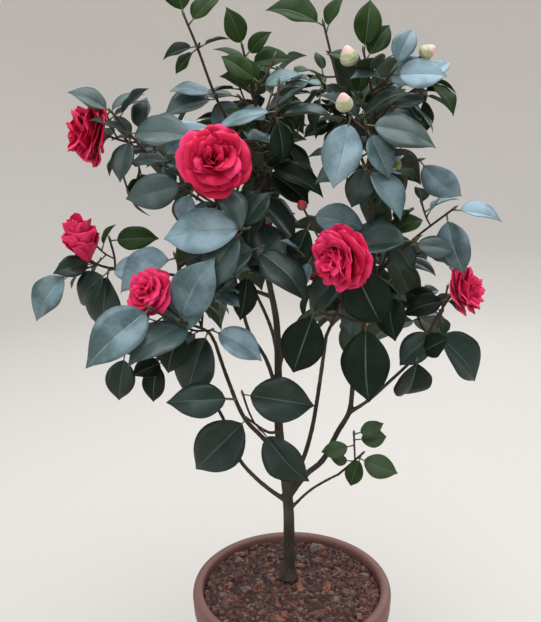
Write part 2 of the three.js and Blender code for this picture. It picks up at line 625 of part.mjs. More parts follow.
// Sets the leaves of one shoot, nearest the tip first, and skips those that find no room
function setLeaves(mass, shoot, grown, next) {
  const crowded = shoot.plan.blossom || shoot.plan.bud ? 1 : 0;
  const total = shoot.plan.leaves.length + (shoot.plan.more || 0);
  for (let i = 0; i < total; i += 1) {
    const aimed = i < shoot.plan.leaves.length;
    const aim = aimed ? shoot.plan.leaves[i] : [];
    const draws = [next(), next(), next(), next()];
    const back = (i + crowded) * LEAF_SPACING / shoot.length;
    const share = Math.max(0.99 - back, 0.3 + 0.04 * (i % 3));
    const root = shoot.curve.getPointAt(share);
    const axis = shoot.curve.getTangentAt(share);
    const length = aimed ? AIMED_SCALE * aim[1] : LEAF_LENGTH * (0.78 + 0.3 * draws[1]);
    const widthShare = LEAF_WIDTH_SHARE * (0.92 + 0.16 * draws[2]);
    const roll = aim[3] ?? (draws[3] - 0.5) * LEAF_ROLL;
    const light = aimed ? frontLight(root.z, aim[2]) : REAR_LIGHT;
    for (const step of TRIES) {
      const direction = aimed
        ? aimedDirection(aim[0] + 4 * step, 30 * draws[0] + 13 * step)
        : roundDirection(axis, 360 * draws[0] + LEAF_TURN * i + 32 * step, LEAF_SPREAD);
      const leaf = makeLeaf(root, direction, light, roll, length, widthShare, shoot.owner);
      if (leafIsClear(leaf, grown)) {
        grown.leaves.push(leaf);
        break;
      }
    }
  }
}

function headOf(shoot) {
  const { plan } = shoot;
  if (!plan.blossom && !plan.bud) return null;
  const face = vector(plan.face).normalize();
  const width = plan.blossom || plan.bud * 0.8;
  const depth = plan.blossom ? plan.blossom * (plan.deep ?? BLOSSOM_DEPTH_SHARE) : plan.bud;
  const base = shoot.curve.getPointAt(1);
  const centre = base.clone().addScaledVector(face, depth * 0.62);
  const radius = plan.blossom ? width * 0.44 : depth * 0.55;
  return { base, face, width, depth, centre, radius, blossom: Boolean(plan.blossom) };
}

// The shrub: limbs first, then every shoot and head, then the leaves in the same order

const limbs = new Map();
const grown = { stretches: [], heads: [], leaves: [] };
LIMBS.forEach((limb) => {
  limb.curve = new THREE.CatmullRomCurve3(limb.route.map(vector), false, 'centripetal');
  limbs.set(limb.name, limb);
  grown.stretches.push(...stretches(limb.curve, (share) => limbRadius(limb, share), 12, limb.name));
});
MASSES.forEach((mass) => {
  mass.grown = growShoots(mass, limbs.get(mass.on)).filter((shoot) => shootIsClear(shoot, grown));
  mass.grown.forEach((shoot) => {
    grown.stretches.push(...stretches(shoot.curve, shoot.radiusAt, 5, shoot.owner));
    shoot.head = headOf(shoot);
    if (shoot.head) grown.heads.push(shoot.head);
  });
});
['leaves', 'more'].forEach((turn) => {
  MASSES.forEach((mass, index) => {
    const next = seededNumbers((turn === 'more' ? 900 : 100) + 37 * index);
    mass.grown.forEach((shoot) => {
      const plan = turn === 'more' ? { ...shoot.plan, leaves: [] } : { ...shoot.plan };
      setLeaves(mass, { ...shoot, plan }, grown, next);
    });
  });
});

// One solid for a mass: its shoots, leaves and heads fused, trimmed clear of the limbs
function massSolid(mass, earlier) {
  const parts = [];
  mass.grown.forEach((shoot) => {
    parts.push(bentTube(shoot.curve, shoot.radiusAt, 3, shoot.steps));
    grown.leaves.filter((leaf) => leaf.owner === shoot.owner)
      .forEach((leaf) => parts.push(leafSolid(leaf)));
    if (!shoot.head) return;
    const { base, face, width, depth, blossom } = shoot.head;
    parts.push(blossom
      ? headSolid(base, face, width, depth, BLOSSOM_ROWS, 14, 0.86)
      : headSolid(base, face, width, depth, BUD_ROWS, 6, 1));
  });
  let solid = wasm.Manifold.union(parts);
  earlier.forEach((neighbour) => {
    solid = solid.subtract(neighbour);
  });
  return largestPiece(solid);
}

const shrub = new THREE.Group();
shrub.add(toMesh('pot', potSolid(), POT_COLOUR, 0.8));
shrub.add(toMesh('growing_mix', mixSolid(), MIX_COLOUR, 0.95));

const trimmers = [];
LIMBS.forEach((limb) => {
  let solid = limbSolid(limb, 0);
  trimmers.forEach((trimmer) => {
    solid = solid.subtract(trimmer);
  });
  trimmers.push(limbSolid(limb, SEAT_GAP + 0.05));
  shrub.add(toMesh(limb.name, largestPiece(solid), BARK_COLOUR, 0.8));
});

const stems = new Map();
MASSES.forEach((mass) => {
  const siblings = stems.get(mass.on) || [];
  const solid = massSolid(mass, [...trimmers, ...siblings]);
  const stem = mass.grown[0];
  const grow = SEAT_GAP + 0.05;
  siblings.push(bentTube(stem.curve, (share) => stem.radiusAt(share) + grow, 6, stem.steps));
  stems.set(mass.on, siblings);
  shrub.add(toMesh(mass.name, solid, LEAF_COLOUR, 0.5));
});

export default shrub;
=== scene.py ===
"""Looks of the potted camellia shrub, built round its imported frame.

The shrub grows here by the same seeded rule as its solids, and then on to finer twigs and
leaves within the same room. Places are in millimetres until a mesh is laid, in metres.
"""

import logging
import math
from collections.abc import Callable, Sequence
from dataclasses import dataclass, field
from enum import Enum

import bmesh
import bpy
import numpy as np
from bpy.types import ID, Material, Mesh, NodeSocket, Object
from mathutils import Matrix, Vector, noise


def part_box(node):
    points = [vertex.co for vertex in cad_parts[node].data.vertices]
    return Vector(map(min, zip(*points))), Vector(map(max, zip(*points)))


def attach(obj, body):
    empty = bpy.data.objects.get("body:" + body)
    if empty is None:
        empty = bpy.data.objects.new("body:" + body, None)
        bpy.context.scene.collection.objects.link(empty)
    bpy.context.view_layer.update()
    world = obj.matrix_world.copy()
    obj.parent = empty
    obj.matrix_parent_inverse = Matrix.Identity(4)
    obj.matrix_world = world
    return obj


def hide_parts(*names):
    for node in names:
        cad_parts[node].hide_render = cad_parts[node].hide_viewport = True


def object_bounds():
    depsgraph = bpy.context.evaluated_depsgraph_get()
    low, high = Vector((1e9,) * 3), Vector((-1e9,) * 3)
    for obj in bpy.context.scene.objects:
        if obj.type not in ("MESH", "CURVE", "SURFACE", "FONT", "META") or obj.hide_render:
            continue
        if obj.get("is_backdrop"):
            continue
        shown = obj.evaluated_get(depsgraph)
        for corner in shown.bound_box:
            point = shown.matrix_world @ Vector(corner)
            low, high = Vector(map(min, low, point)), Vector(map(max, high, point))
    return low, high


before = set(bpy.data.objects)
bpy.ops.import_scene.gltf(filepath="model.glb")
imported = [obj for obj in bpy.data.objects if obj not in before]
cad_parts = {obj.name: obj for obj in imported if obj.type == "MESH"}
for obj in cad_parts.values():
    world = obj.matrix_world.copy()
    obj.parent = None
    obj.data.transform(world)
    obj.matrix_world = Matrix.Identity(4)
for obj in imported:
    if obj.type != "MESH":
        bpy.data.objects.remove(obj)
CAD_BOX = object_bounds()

MM = 0.001
Array = np.ndarray
Numbers = Sequence[float]
Room = tuple[Array, Array]
Colour = tuple[float, float, float]

# Heights, clearances and sizes that the solids were grown with; the air is that between
# two leaves, and from a leaf to a twig
MIX_TOP = 222
SEAT_GAP = 0.3
LEAF_AIR = (6, 3)
TRUNK_FOOT_DIAMETER = 19.5
TRUNK_TOP_DIAMETER = 6
FLARE_EXTRA = 4.5
FLARE_HEIGHT = 26
LIMB_TAPER = 0.8
TWIG_TIP_RADIUS = 1.4
TWIG_FORK_SHARE = 0.8
LEAF_SPACING = 9
PETIOLE = 9
LEAF_LENGTH = 82
AIMED_SCALE = 1.06
LEAF_WIDTH_SHARE = 0.68
LEAF_ARCH = 0.2
LEAF_FOLD = 0.22
LEAF_ROLL = 40
LEAF_TURN = 144
LEAF_SPREAD = 58
BLOSSOM_DEPTH_SHARE = 0.55
BLOSSOM_ROOM = 0.44
BUD_ROOM = 0.55
BUD_WIDTH_SHARE = 0.8
HEAD_MIDDLE = 0.62
LOW_LIGHT = (480, 66)
HIGH_LIGHT = (900, 32)
REAR_LIGHT = (0, 0.5, 0.85)

# The finer side twigs and leaves that grow in the scene alone
FINE_AIR = (2.4, 1.2)
FINE_ROOM_MARGIN = 6
FINE_FRONT_LEAF = (26, 44)
FINE_REAR_LEAF = (42, 66)
FINE_SPACING = 8
FINE_SPREAD = 62
FINE_ROLL = 50
TWIGLET_SPACING = 34
TWIGLET_REACH = (24, 42)
TWIGLET_RISE = 6
TWIGLET_FOOT = 600
TWIGLET_SPREAD = 55
TWIGLET_FORK_SHARE = 0.7
TWIGLET_ROOM_MARGIN = 4
TWIGLET_TWIG_GAP = 3
TWIGLET_HEAD_GAP = 6
TWIGLET_LEAF_GAP = 2


class Route:
    """A smooth centripetal route through places, measured along its length."""

    DIVISIONS = 200
    REACH = 1e-4

    def __init__(self, places: Sequence[Numbers]) -> None:
        """Lays the route.

        Args:
            places: The places that it passes through, in order.
        """
        self.places = [np.array(place, float) for place in places]
        self.marks = np.linspace(0, 1, self.DIVISIONS + 1)
        line = np.array([self._at(mark) for mark in self.marks])
        steps = np.linalg.norm(np.diff(line, axis=0), axis=1)
        self.reached = np.concatenate(([0.0], np.cumsum(steps)))
        self.length = float(self.reached[-1])

    def _at(self, mark: float) -> Array:
        """Finds the place at a mark that counts the stretches evenly.

        Args:
            mark: From 0 at the start to 1 at the end.

        Returns:
            The place.
        """
        spot = (len(self.places) - 1) * mark
        index = min(int(spot), len(self.places) - 2)
        share = spot - index
        low, high = self.places[index], self.places[index + 1]
        before = self.places[index - 1] if index > 0 else 2 * low - high
        last = index + 2 >= len(self.places)
        after = 2 * high - low if last else self.places[index + 2]
        first_gap, gap, last_gap = (
            math.sqrt(float(np.linalg.norm(b - a)))
            for a, b in ((before, low), (low, high), (high, after))
        )
        leave = (low - before) / first_gap - (high - before) / (first_gap + gap) + (high - low) / gap
        arrive = (high - low) / gap - (after - low) / (gap + last_gap) + (after - high) / last_gap
        leave, arrive = leave * gap, arrive * gap
        square = -3 * low + 3 * high - 2 * leave - arrive
        cube = 2 * low - 2 * high + leave + arrive
        return low + share * (leave + share * (square + share * cube))

    def _mark(self, share: float) -> float:
        """Gives the mark at a share of the length."""
        return float(np.interp(share * self.length, self.reached, self.marks))

    def place(self, share: float) -> Array:
        """Gives the place at a share of the length."""
        return self._at(self._mark(share))

    def heading(self, share: float) -> Array:
        """Gives the unit direction at a share of the length."""
        mark = self._mark(share)
        return unit(self._at(min(mark + self.REACH, 1)) - self._at(max(mark - self.REACH, 0)))

    def frames(self, count: int) -> tuple[Array, Array, Array, Array]:
        """Carries a pair of cross axes along the route without turning them.

        Args:
            count: How many places are wanted, the ends included.

        Returns:
            The shares, the places, and the two cross axes at each.
        """
        shares = np.linspace(0, 1, count)
        places = np.array([self.place(share) for share in shares])
        headings = [self.heading(share) for share in shares]
        side = cross_axis(headings[0])
        sides, overs = [], []
        for heading in headings:
            side = unit(side - heading * (side @ heading))
            sides.append(side)
            overs.append(np.cross(heading, side))
        return shares, places, np.array(sides), np.array(overs)


def unit(vector: Array) -> Array:
    """Gives the vector at a length of one."""
    return vector / np.linalg.norm(vector)


def cross_axis(axis: Array) -> Array:
    """Gives a unit vector square to an axis, level where the axis is not upright."""
    helper = np.array((1.0, 0, 0) if abs(axis[2]) > 0.9 else (0, 0, 1.0))
    return unit(np.cross(helper, axis))


def turned(vector: Array, axis: Array, degrees: float) -> Array:
    """Turns a vector about a unit axis, by the right-hand rule."""
    cos, sin = math.cos(math.radians(degrees)), math.sin(math.radians(degrees))
    return vector * cos + np.cross(axis, vector) * sin + axis * (axis @ vector) * (1 - cos)


class SeededNumbers:
    """A repeatable source of numbers between 0 and 1."""

    def __init__(self, seed: int) -> None:
        """Starts the source at a seed."""
        self.state = seed % 2**32

    def __call__(self) -> float:
        """Gives the next number."""
        self.state = (self.state * 1664525 + 1013904223) % 2**32
        return self.state / 2**32

    def between(self, low: float, high: float) -> float:
        """Gives the next number between two limits."""
        return low + (high - low) * self()


@dataclass
class Limb:
    """The trunk or one bough: where it springs from, its two diameters and its route."""

    name: str
    source: str
    diameters: tuple[float, float]
    route: Sequence[Numbers]
    line: Route = field(init=False)

    def __post_init__(self) -> None:
        """Lays the limb's route."""
        self.line = Route(self.route)

    def radius(self, share: float) -> float:
        """Gives the radius, with the trunk's root flare.

        Args:
            share: The share of the way from its foot.

        Returns:
            The radius.
        """
        low, high = self.diameters
        flare = 0.0
        if not self.source:
            flare = FLARE_EXTRA * max(0.0, 1 - share * self.line.length / FLARE_HEIGHT) ** 2
        return (low + (high - low) * share**LIMB_TAPER) / 2 + flare


@dataclass(frozen=True)
class Plan:
    """One shoot: its tip, the places it passes by, its leaves, and the head on its tip.

    A leaf is the hour-hand angle that it points to, seen from the front, its length and,
    where it shows its face, how far it turns from the sky to the front, and where it is seen
    on its edge, its roll. 'deep' is the share of its width that a half-open blossom is deep.
    """

    to: Numbers
    by: Sequence[Numbers] = ()
    leaves: Sequence[Numbers] = ()
    more: int = 0
    blossom: float = 0
    bud: float = 0
    face: Numbers = (0, 0, 1)
    deep: float = BLOSSOM_DEPTH_SHARE


@dataclass(frozen=True)
class Mass:
    """One mass of foliage: its name, its limb, its shoots' leaf tints and its shoots.

    A shoot's tints are one word, with its lead leaf's first. Most letters deal out painted
    sky sheen and painted shade; O and Y are the olive and young leaves' own greens.
    """

    name: str
    limb: str
    tints: str
    shoots: Sequence[Plan]
    rear: bool = False
    at: Numbers | None = None


LIMBS = (
    Limb("trunk", "", (TRUNK_FOOT_DIAMETER, TRUNK_TOP_DIAMETER), ((-3, 22, MIX_TOP + SEAT_GAP),
         (-3, 22, 246), (-4, 12, 354), (-16, 12, 466), (-16, 12, 554), (-18, 12, 623), (-31, 12, 701),
         (-34, 12, 786))),
    Limb("right_bough", "trunk", (9, 5.5), ((-4, 10, 360), (22, 0, 400), (44, -6, 423), (65, -15, 470),
         (80, -20, 501), (84, -24, 540), (92, -30, 600), (109, -36, 685))),
    Limb("middle_right_bough", "trunk", (7.5, 5), ((-5, 12, 368), (8, 6, 398), (20, 0, 430),
         (30, -8, 473), (36, -16, 514), (42, -26, 565), (47, -38, 614))),
    Limb("low_left_bough", "trunk", (6.8, 4.5), ((-5, 12, 352), (-30, 2, 376), (-52, -12, 404),
         (-71, -22, 434), (-91, -40, 502), (-108, -52, 540))),
    Limb("left_bough", "trunk", (7.5, 4.8), ((-10, 12, 412), (-37, 0, 454), (-63, -12, 490),
         (-83, -35, 553), (-97, -56, 611))),
    Limb("middle_left_bough", "trunk", (6.5, 4.6), ((-16, 12, 512), (-33, 2, 571), (-54, -8, 610),
         (-64, -20, 654), (-74, -38, 706))),
    Limb("far_left_bough", "trunk", (5.8, 4.2), ((-22, 12, 655), (-78, 44, 668), (-150, 44, 680),
         (-218, 8, 698))),
    Limb("upper_left_bough", "trunk", (5.6, 4.2), ((-31, 12, 696), (-65, 16, 742), (-106, 6, 780),
         (-142, -13, 807))),
    Limb("upper_right_bough", "right_bough", (5.2, 4), ((108, -36, 682), (107, -35, 735),
         (102, -30, 788), (99, -28, 820))),
    Limb("far_right_bough", "right_bough", (5.2, 4), ((80, -20, 500), (102, -35, 521), (131, -45, 553),
         (155, -50, 580), (174, -52, 610))),
    Limb("low_right_bough", "trunk", (4.6, 3.6), ((-3, 12, 338), (26, 0, 374), (48, -8, 393),
         (68, -16, 408))),
    Limb("rear_left_bough", "trunk", (6.6, 4.4), ((-15, 12, 540), (-22, 44, 592), (-44, 82, 640),
         (-68, 100, 682))),
    Limb("rear_right_bough", "trunk", (6.6, 4.4), ((-16, 12, 552), (-2, 48, 584), (32, 84, 612),
         (66, 102, 640))),
    Limb("rear_bough", "trunk", (5.4, 4.2), ((-20, 12, 640), (-30, 52, 700), (-44, 80, 770))),
)
MASSES = (
    Mass("top_left_foliage", "trunk", "OO SO BM", (
        Plan((-124, -28, 1008), by=((-52, 8, 838), (-90, -10, 915), (-110, -20, 972)),
             leaves=((345, 58, 60), (40, 46, 60))),
        Plan((-108, -26, 974), leaves=((262, 34), (63, 28), (236, 30))),
        Plan((-88, -22, 916), leaves=((290, 44), (266, 54))),
    )),
    Mass("top_foliage", "trunk", "OOO OBO BSM MB O", (
        Plan((-55, -18, 972), by=((-30, 4, 850), (-42, -6, 910)), leaves=((335, 38, 80), (40, 32, 80),
             (76, 44, 50))),
        Plan((-34, -46, 928), leaves=((308, 42, 70), (62, 40, 60), (345, 30))),
        Plan((-14, -92, 893), leaves=((268, 64), (165, 42), (75, 56))),
        Plan((-62, 22, 918), leaves=((285, 50), (246, 46, 60)), more=1),
        Plan((-20, 52, 925), more=2),
    )),
    Mass("top_middle_foliage", "upper_right_bough", "OO MSOB", (
        Plan((46, 12, 1003), by=((84, -8, 862), (66, 6, 925)), leaves=((298, 60), (16, 36))),
        Plan((34, -58, 935), leaves=((252, 66, 50), (130, 42), (232, 56), (316, 34))),
    )),
    Mass("top_right_foliage", "upper_right_bough", "O O BPMP P SD MDM MMD O", (
        Plan((90, -42, 962), by=((106, -32, 890),), leaves=((6, 48, 70), (30, 40), (312, 40),
             (340, 50))),
        Plan((73, -58, 946), bud=24, face=(-0.3, -0.4, 0.9)),
        Plan((122, -76, 938), leaves=((20, 40), (84, 50, 75), (285, 34), (60, 46, 70))),
        Plan((154, -62, 954), bud=20, face=(0.8, -0.3, 0.5)),
        Plan((82, -86, 884), leaves=((46, 46), (312, 46))),
        Plan((118, -74, 900), leaves=((160, 40), (70, 34), (100, 48))),
        Plan((100, 30, 905), more=3),
        Plan((162, -66, 926), by=((140, -58, 912),), leaves=((128, 38),)),
    )),
    Mass("upper_right_foliage", "upper_right_bough", "MB P BMM P MB M", (
        Plan((84, -116, 876), by=((96, -70, 846),), leaves=((97, 68, 40), (152, 48))),
        Plan((62, -108, 892), leaves=((196, 66, 72),), bud=22, face=(-0.2, -0.5, 0.8)),
        Plan((86, -106, 828), leaves=((136, 58, 45), (266, 50, 42), (205, 46))),
        Plan((156, -62, 836), by=((128, -56, 832),), leaves=((140, 58, 40, 74),)),
        Plan((112, 16, 848), more=2),
        Plan((126, -76, 834), bud=12, face=(0.2, -0.4, -0.6)),
    )),
    Mass("right_foliage", "right_bough", "MM DODM PB DM", (
        Plan((148, -86, 742), by=((124, -52, 712),), leaves=((273, 84, 22), (92, 42))),
        Plan((112, -66, 752), leaves=((138, 52), (62, 46), (28, 44), (300, 46))),
        Plan((200, -58, 776), by=((164, -40, 744),), leaves=((92, 48), (170, 62, 60, 50))),
        Plan((130, 40, 730), more=2),
    )),
    Mass("far_right_foliage", "far_right_bough", "S DD S MS", (
        Plan((208, -42, 668), by=((188, -50, 640),), leaves=((262, 46), (112, 42), (314, 44)),
             blossom=70, face=(0.85, -0.4, 0.32)),
        Plan((183, -74, 628), leaves=((231, 52), (130, 78))),
        Plan((158, -82, 594), leaves=((190, 74), (20, 40))),
        Plan((174, 8, 628), more=2),
    )),
    Mass("middle_right_foliage", "middle_right_bough", "SD S S S BS", (
        Plan((70, -118, 732), by=((56, -66, 646), (66, -94, 680)), leaves=((160, 78, 70), (238, 74)),
             blossom=84, face=(-0.72, -0.62, -0.2)),
        Plan((29, -86, 658), leaves=((200, 74, 70), (262, 44))),
        Plan((92, -90, 642), leaves=((184, 82, 74),)),
        Plan((118, -70, 688), leaves=((174, 60),)),
        Plan((16, -74, 781), leaves=((98, 60, 52), (206, 50)), bud=14, face=(-0.3, -0.6, 0.7)),
    )),
    Mass("left_foliage", "left_bough", "BSM PD PD BM B BP", (
        Plan((-134, -112, 652), by=((-104, -70, 628),), leaves=((18, 72, 60), (205, 56),
             (262, 80, 50))),
        Plan((-98, -84, 634), leaves=((112, 58, 62), (204, 78, 70))),
        Plan((-142, -62, 722), by=((-128, -70, 684),), leaves=((257, 80, 46), (60, 40))),
        Plan((-164, -128, 672), leaves=((226, 82, 62), (192, 46, 70))),
        Plan((-164, -92, 680), blossom=62, face=(-0.45, -0.78, 0.42)),
        Plan((-104, -88, 704), leaves=((222, 74, 56), (62, 44))),
    )),
    Mass("low_left_foliage", "low_left_bough", "S D DP", (
        Plan((-170, -58, 592), by=((-126, -56, 562),), leaves=((194, 48), (262, 38))),
        Plan((-72, -108, 552), leaves=((278, 64, 58),)),
        Plan((-212, -62, 600), by=((-180, -62, 592),), leaves=((190, 50), (300, 46))),
    )),
    Mass("far_left_foliage", "far_left_bough", "D DDP B O", (
        Plan((-261, -22, 712), by=((-238, -2, 700),), leaves=((262, 40),), blossom=52,
             face=(-0.12, -0.3, 0.95), deep=1.1),
        Plan((-236, -22, 698), leaves=((242, 58), (204, 86), (84, 54))),
        Plan((-288, -26, 700), leaves=((222, 62),)),
        Plan((-233, -14, 738), by=((-230, -8, 716),), leaves=((82, 50),)),
    )),
    Mass("upper_left_foliage", "upper_left_bough", "MSS MMMS OM PM M M", (
        Plan((-212, -52, 896), by=((-160, -30, 832), (-178, -42, 852)), leaves=((307, 42, 40),
             (36, 40), (294, 48, 12))),
        Plan((-192, -60, 871), leaves=((84, 68), (250, 40, 70), (200, 44), (305, 44))),
        Plan((-206, -46, 834), leaves=((173, 54, 40, 82), (66, 44))),
        Plan((-156, -58, 842), leaves=((52, 56), (100, 44))),
        Plan((-224, -40, 870), by=((-200, -34, 862),), blossom=84, face=(-0.88, -0.42, 0.12)),
        Plan((-150, 30, 866), more=1),
    )),
    Mass("middle_left_foliage", "middle_left_bough", "BMM MP PMD MDD SD", (
        Plan((-86, -108, 833), by=((-80, -70, 745), (-84, -92, 788)), leaves=((304, 56), (140, 50),
             (110, 60)), blossom=85, face=(0.05, -0.94, 0.32)),
        Plan((-122, -76, 812), leaves=((254, 62, 70), (206, 40))),
        Plan((-50, -118, 762), leaves=((274, 86, 54), (226, 70, 66), (32, 46))),
        Plan((-36, -96, 738), leaves=((250, 66, 56), (116, 72, 44), (78, 46))),
        Plan((-53, -52, 702), leaves=((186, 50), (78, 40))),
    )),
    Mass("middle_foliage", "trunk", "S DDM MD MMD S", (
        Plan((-30, -56, 832), by=((-30, -14, 806),), leaves=((106, 66), (126, 56), (64, 40))),
        Plan((-40, -62, 796), leaves=((134, 62), (194, 58), (238, 54))),
        Plan((-58, -84, 862), leaves=((102, 66), (278, 60))),
        Plan((-40, -46, 762), leaves=((196, 60), (150, 62), (100, 44))),
        Plan((-10, 30, 840), more=2),
    )),
    Mass("low_middle_foliage", "trunk", "D D D", at=(-14, 12, 462), shoots=(
        Plan((-58, -58, 508), by=((-30, -24, 474),), leaves=((228, 84, 74),)),
        Plan((-62, -72, 546), leaves=((97, 78, 56),)),
        Plan((-38, -66, 493), leaves=((140, 72, 72),)),
    )),
    Mass("low_right_foliage", "low_right_bough", "OYY Y", (
        Plan((96, -36, 446), by=((80, -24, 424),), leaves=((205, 36), (104, 44), (282, 20))),
        Plan((84, -44, 478), leaves=((66, 30), (84, 34), (258, 34))),
    )),
    Mass("rear_left_foliage", "rear_left_bough", "DM MD OD M", rear=True, shoots=(
        Plan((-84, 122, 770), by=((-78, 110, 722),), more=5),
        Plan((-116, 100, 738), more=4),
        Plan((-58, 152, 734), more=4, blossom=84, face=(-0.2, 0.9, 0.35)),
        Plan((-98, 112, 684), more=4),
    )),
    Mass("rear_right_foliage", "rear_right_bough", "DM MD OD M", rear=True, shoots=(
        Plan((88, 122, 704), by=((78, 112, 664),), more=5),
        Plan((126, 104, 664), more=4),
        Plan((58, 148, 672), more=4, blossom=78, face=(0.25, 0.9, 0.3)),
        Plan((104, 112, 606), more=4),
    )),
    Mass("rear_top_foliage", "rear_bough", "OM MD DM MO", rear=True, shoots=(
        Plan((-62, 112, 892), by=((-54, 98, 824),), more=6),
        Plan((-102, 100, 866), more=5),
        Plan((-22, 104, 868), more=5),
        Plan((-60, 152, 838), more=5, blossom=80, face=(0.1, 0.85, 0.5)),
    )),
)


# The growing rule


@dataclass
class Shoot:
    """A shoot that has grown."""

    plan: Plan
    line: Route
    thick: float
    owner: str
    mass: Mass

    def radius(self, share: float) -> float:
        """Gives the radius at a share of the way."""
        return self.thick + (TWIG_TIP_RADIUS - self.thick) * share


@dataclass
class Head:
    """A blossom or a bud on the tip of a shoot."""

    base: Array
    face: Array
    width: float
    depth: float
    blossom: bool
    owner: str

    @property
    def centre(self) -> Array:
        """The middle of the room that the head takes."""
        return self.base + self.face * self.depth * HEAD_MIDDLE

    @property
    def room(self) -> float:
        """The radius of the room that the head takes."""
        return self.width * BLOSSOM_ROOM if self.blossom else self.depth * BUD_ROOM


@dataclass(eq=False)
class Leaf:
    """One leaf blade, with its own axes and the samples that keep it clear.

    Its stalk leaves the twig at its root, its midrib runs along a unit direction, and its
    face turns to the light and then rolls by some degrees.
    """

    SHARES = np.repeat((0.1, 0.28, 0.46, 0.64, 0.82, 1), 5)
    SIDES = np.tile((-1, -0.5, 0, 0.5, 1), 6)
    SLAB = (-0.05, 1.04)
    LEAST_UP = 0.15

    root: Array
    along: Array
    light: Array
    roll: float
    length: float
    width_share: float
    owner: str
    number: int = 0

    def __post_init__(self) -> None:
        """Works out the leaf's axes and samples."""
        up = self.light - self.along * (self.light @ self.along)
        if np.linalg.norm(up) < self.LEAST_UP:
            up = np.array((0, 0, 1.0)) - self.along * self.along[2]
        self.up = turned(unit(up), self.along, self.roll)
        self.across = np.cross(self.along, self.up)
        self.reach = self.length + PETIOLE
        self.half_width = self.length * self.width_share / 2
        half = self.half_width * self.outline(self.SHARES)
        self.samples = self.place(PETIOLE + self.length * self.SHARES, half * self.SIDES)
        self.middle = self.place(np.array([PETIOLE + self.length / 2]), np.zeros(1))[0]

    @staticmethod
    def outline(share: Array) -> Array:
        """Gives half the blade's width, as a share of the greatest, along the blade."""
        swell = np.maximum(np.sin(np.pi * share**0.92), 0) ** 0.75
        return swell * (1 - 0.3 * share**8)

    def surface(self, out: Array, side: Array) -> Array:
        """Gives the blade's rise over the leaf's own flat plane."""
        return LEAF_FOLD * np.abs(side) - LEAF_ARCH * out * out / self.reach

    def place(self, out: Array, side: Array) -> Array:
        """Gives places on the blade, by the millimetres out from the twig and across."""
        flat = self.root + np.outer(out, self.along) + np.outer(side, self.across)
        return flat + np.outer(self.surface(out, side), self.up)

    def near(self, places: Array, gap: float) -> bool:
        """Says whether any place lies in the slab of air that the leaf keeps.

        Args:
            places: The places, one to a row.
            gap: How thick the slab is on each side.

        Returns:
            True where one does.
        """
        offset = places - self.root
        out = offset @ self.along
        share = (out - PETIOLE) / self.length
        side = offset @ self.across
        half = self.half_width * self.outline(np.clip(share, 0.02, 1))
        within = (share > self.SLAB[0]) & (share < self.SLAB[1]) & (np.abs(side) < half + gap / 2)
        return bool(np.any(within & (np.abs(offset @ self.up - self.surface(out, side)) < gap)))

    def meets(self, other: "Leaf", gap: float) -> bool:
        """Says whether this leaf and another come closer than the gap."""
        far = np.linalg.norm(self.middle - other.middle) > (self.length + other.length) / 2 + gap
        return not far and (other.near(self.samples, gap) or self.near(other.samples, gap))


@dataclass(frozen=True)
class Bid:
    """A leaf that asks for room: its place on its shoot, its seeded numbers and its number.

    Its aim is its clock angle, length, turn and roll, or None for one set round the shoot.
    """

    shoot: Shoot
    share: float
    drawn: Numbers
    aim: Numbers | None
    number: int


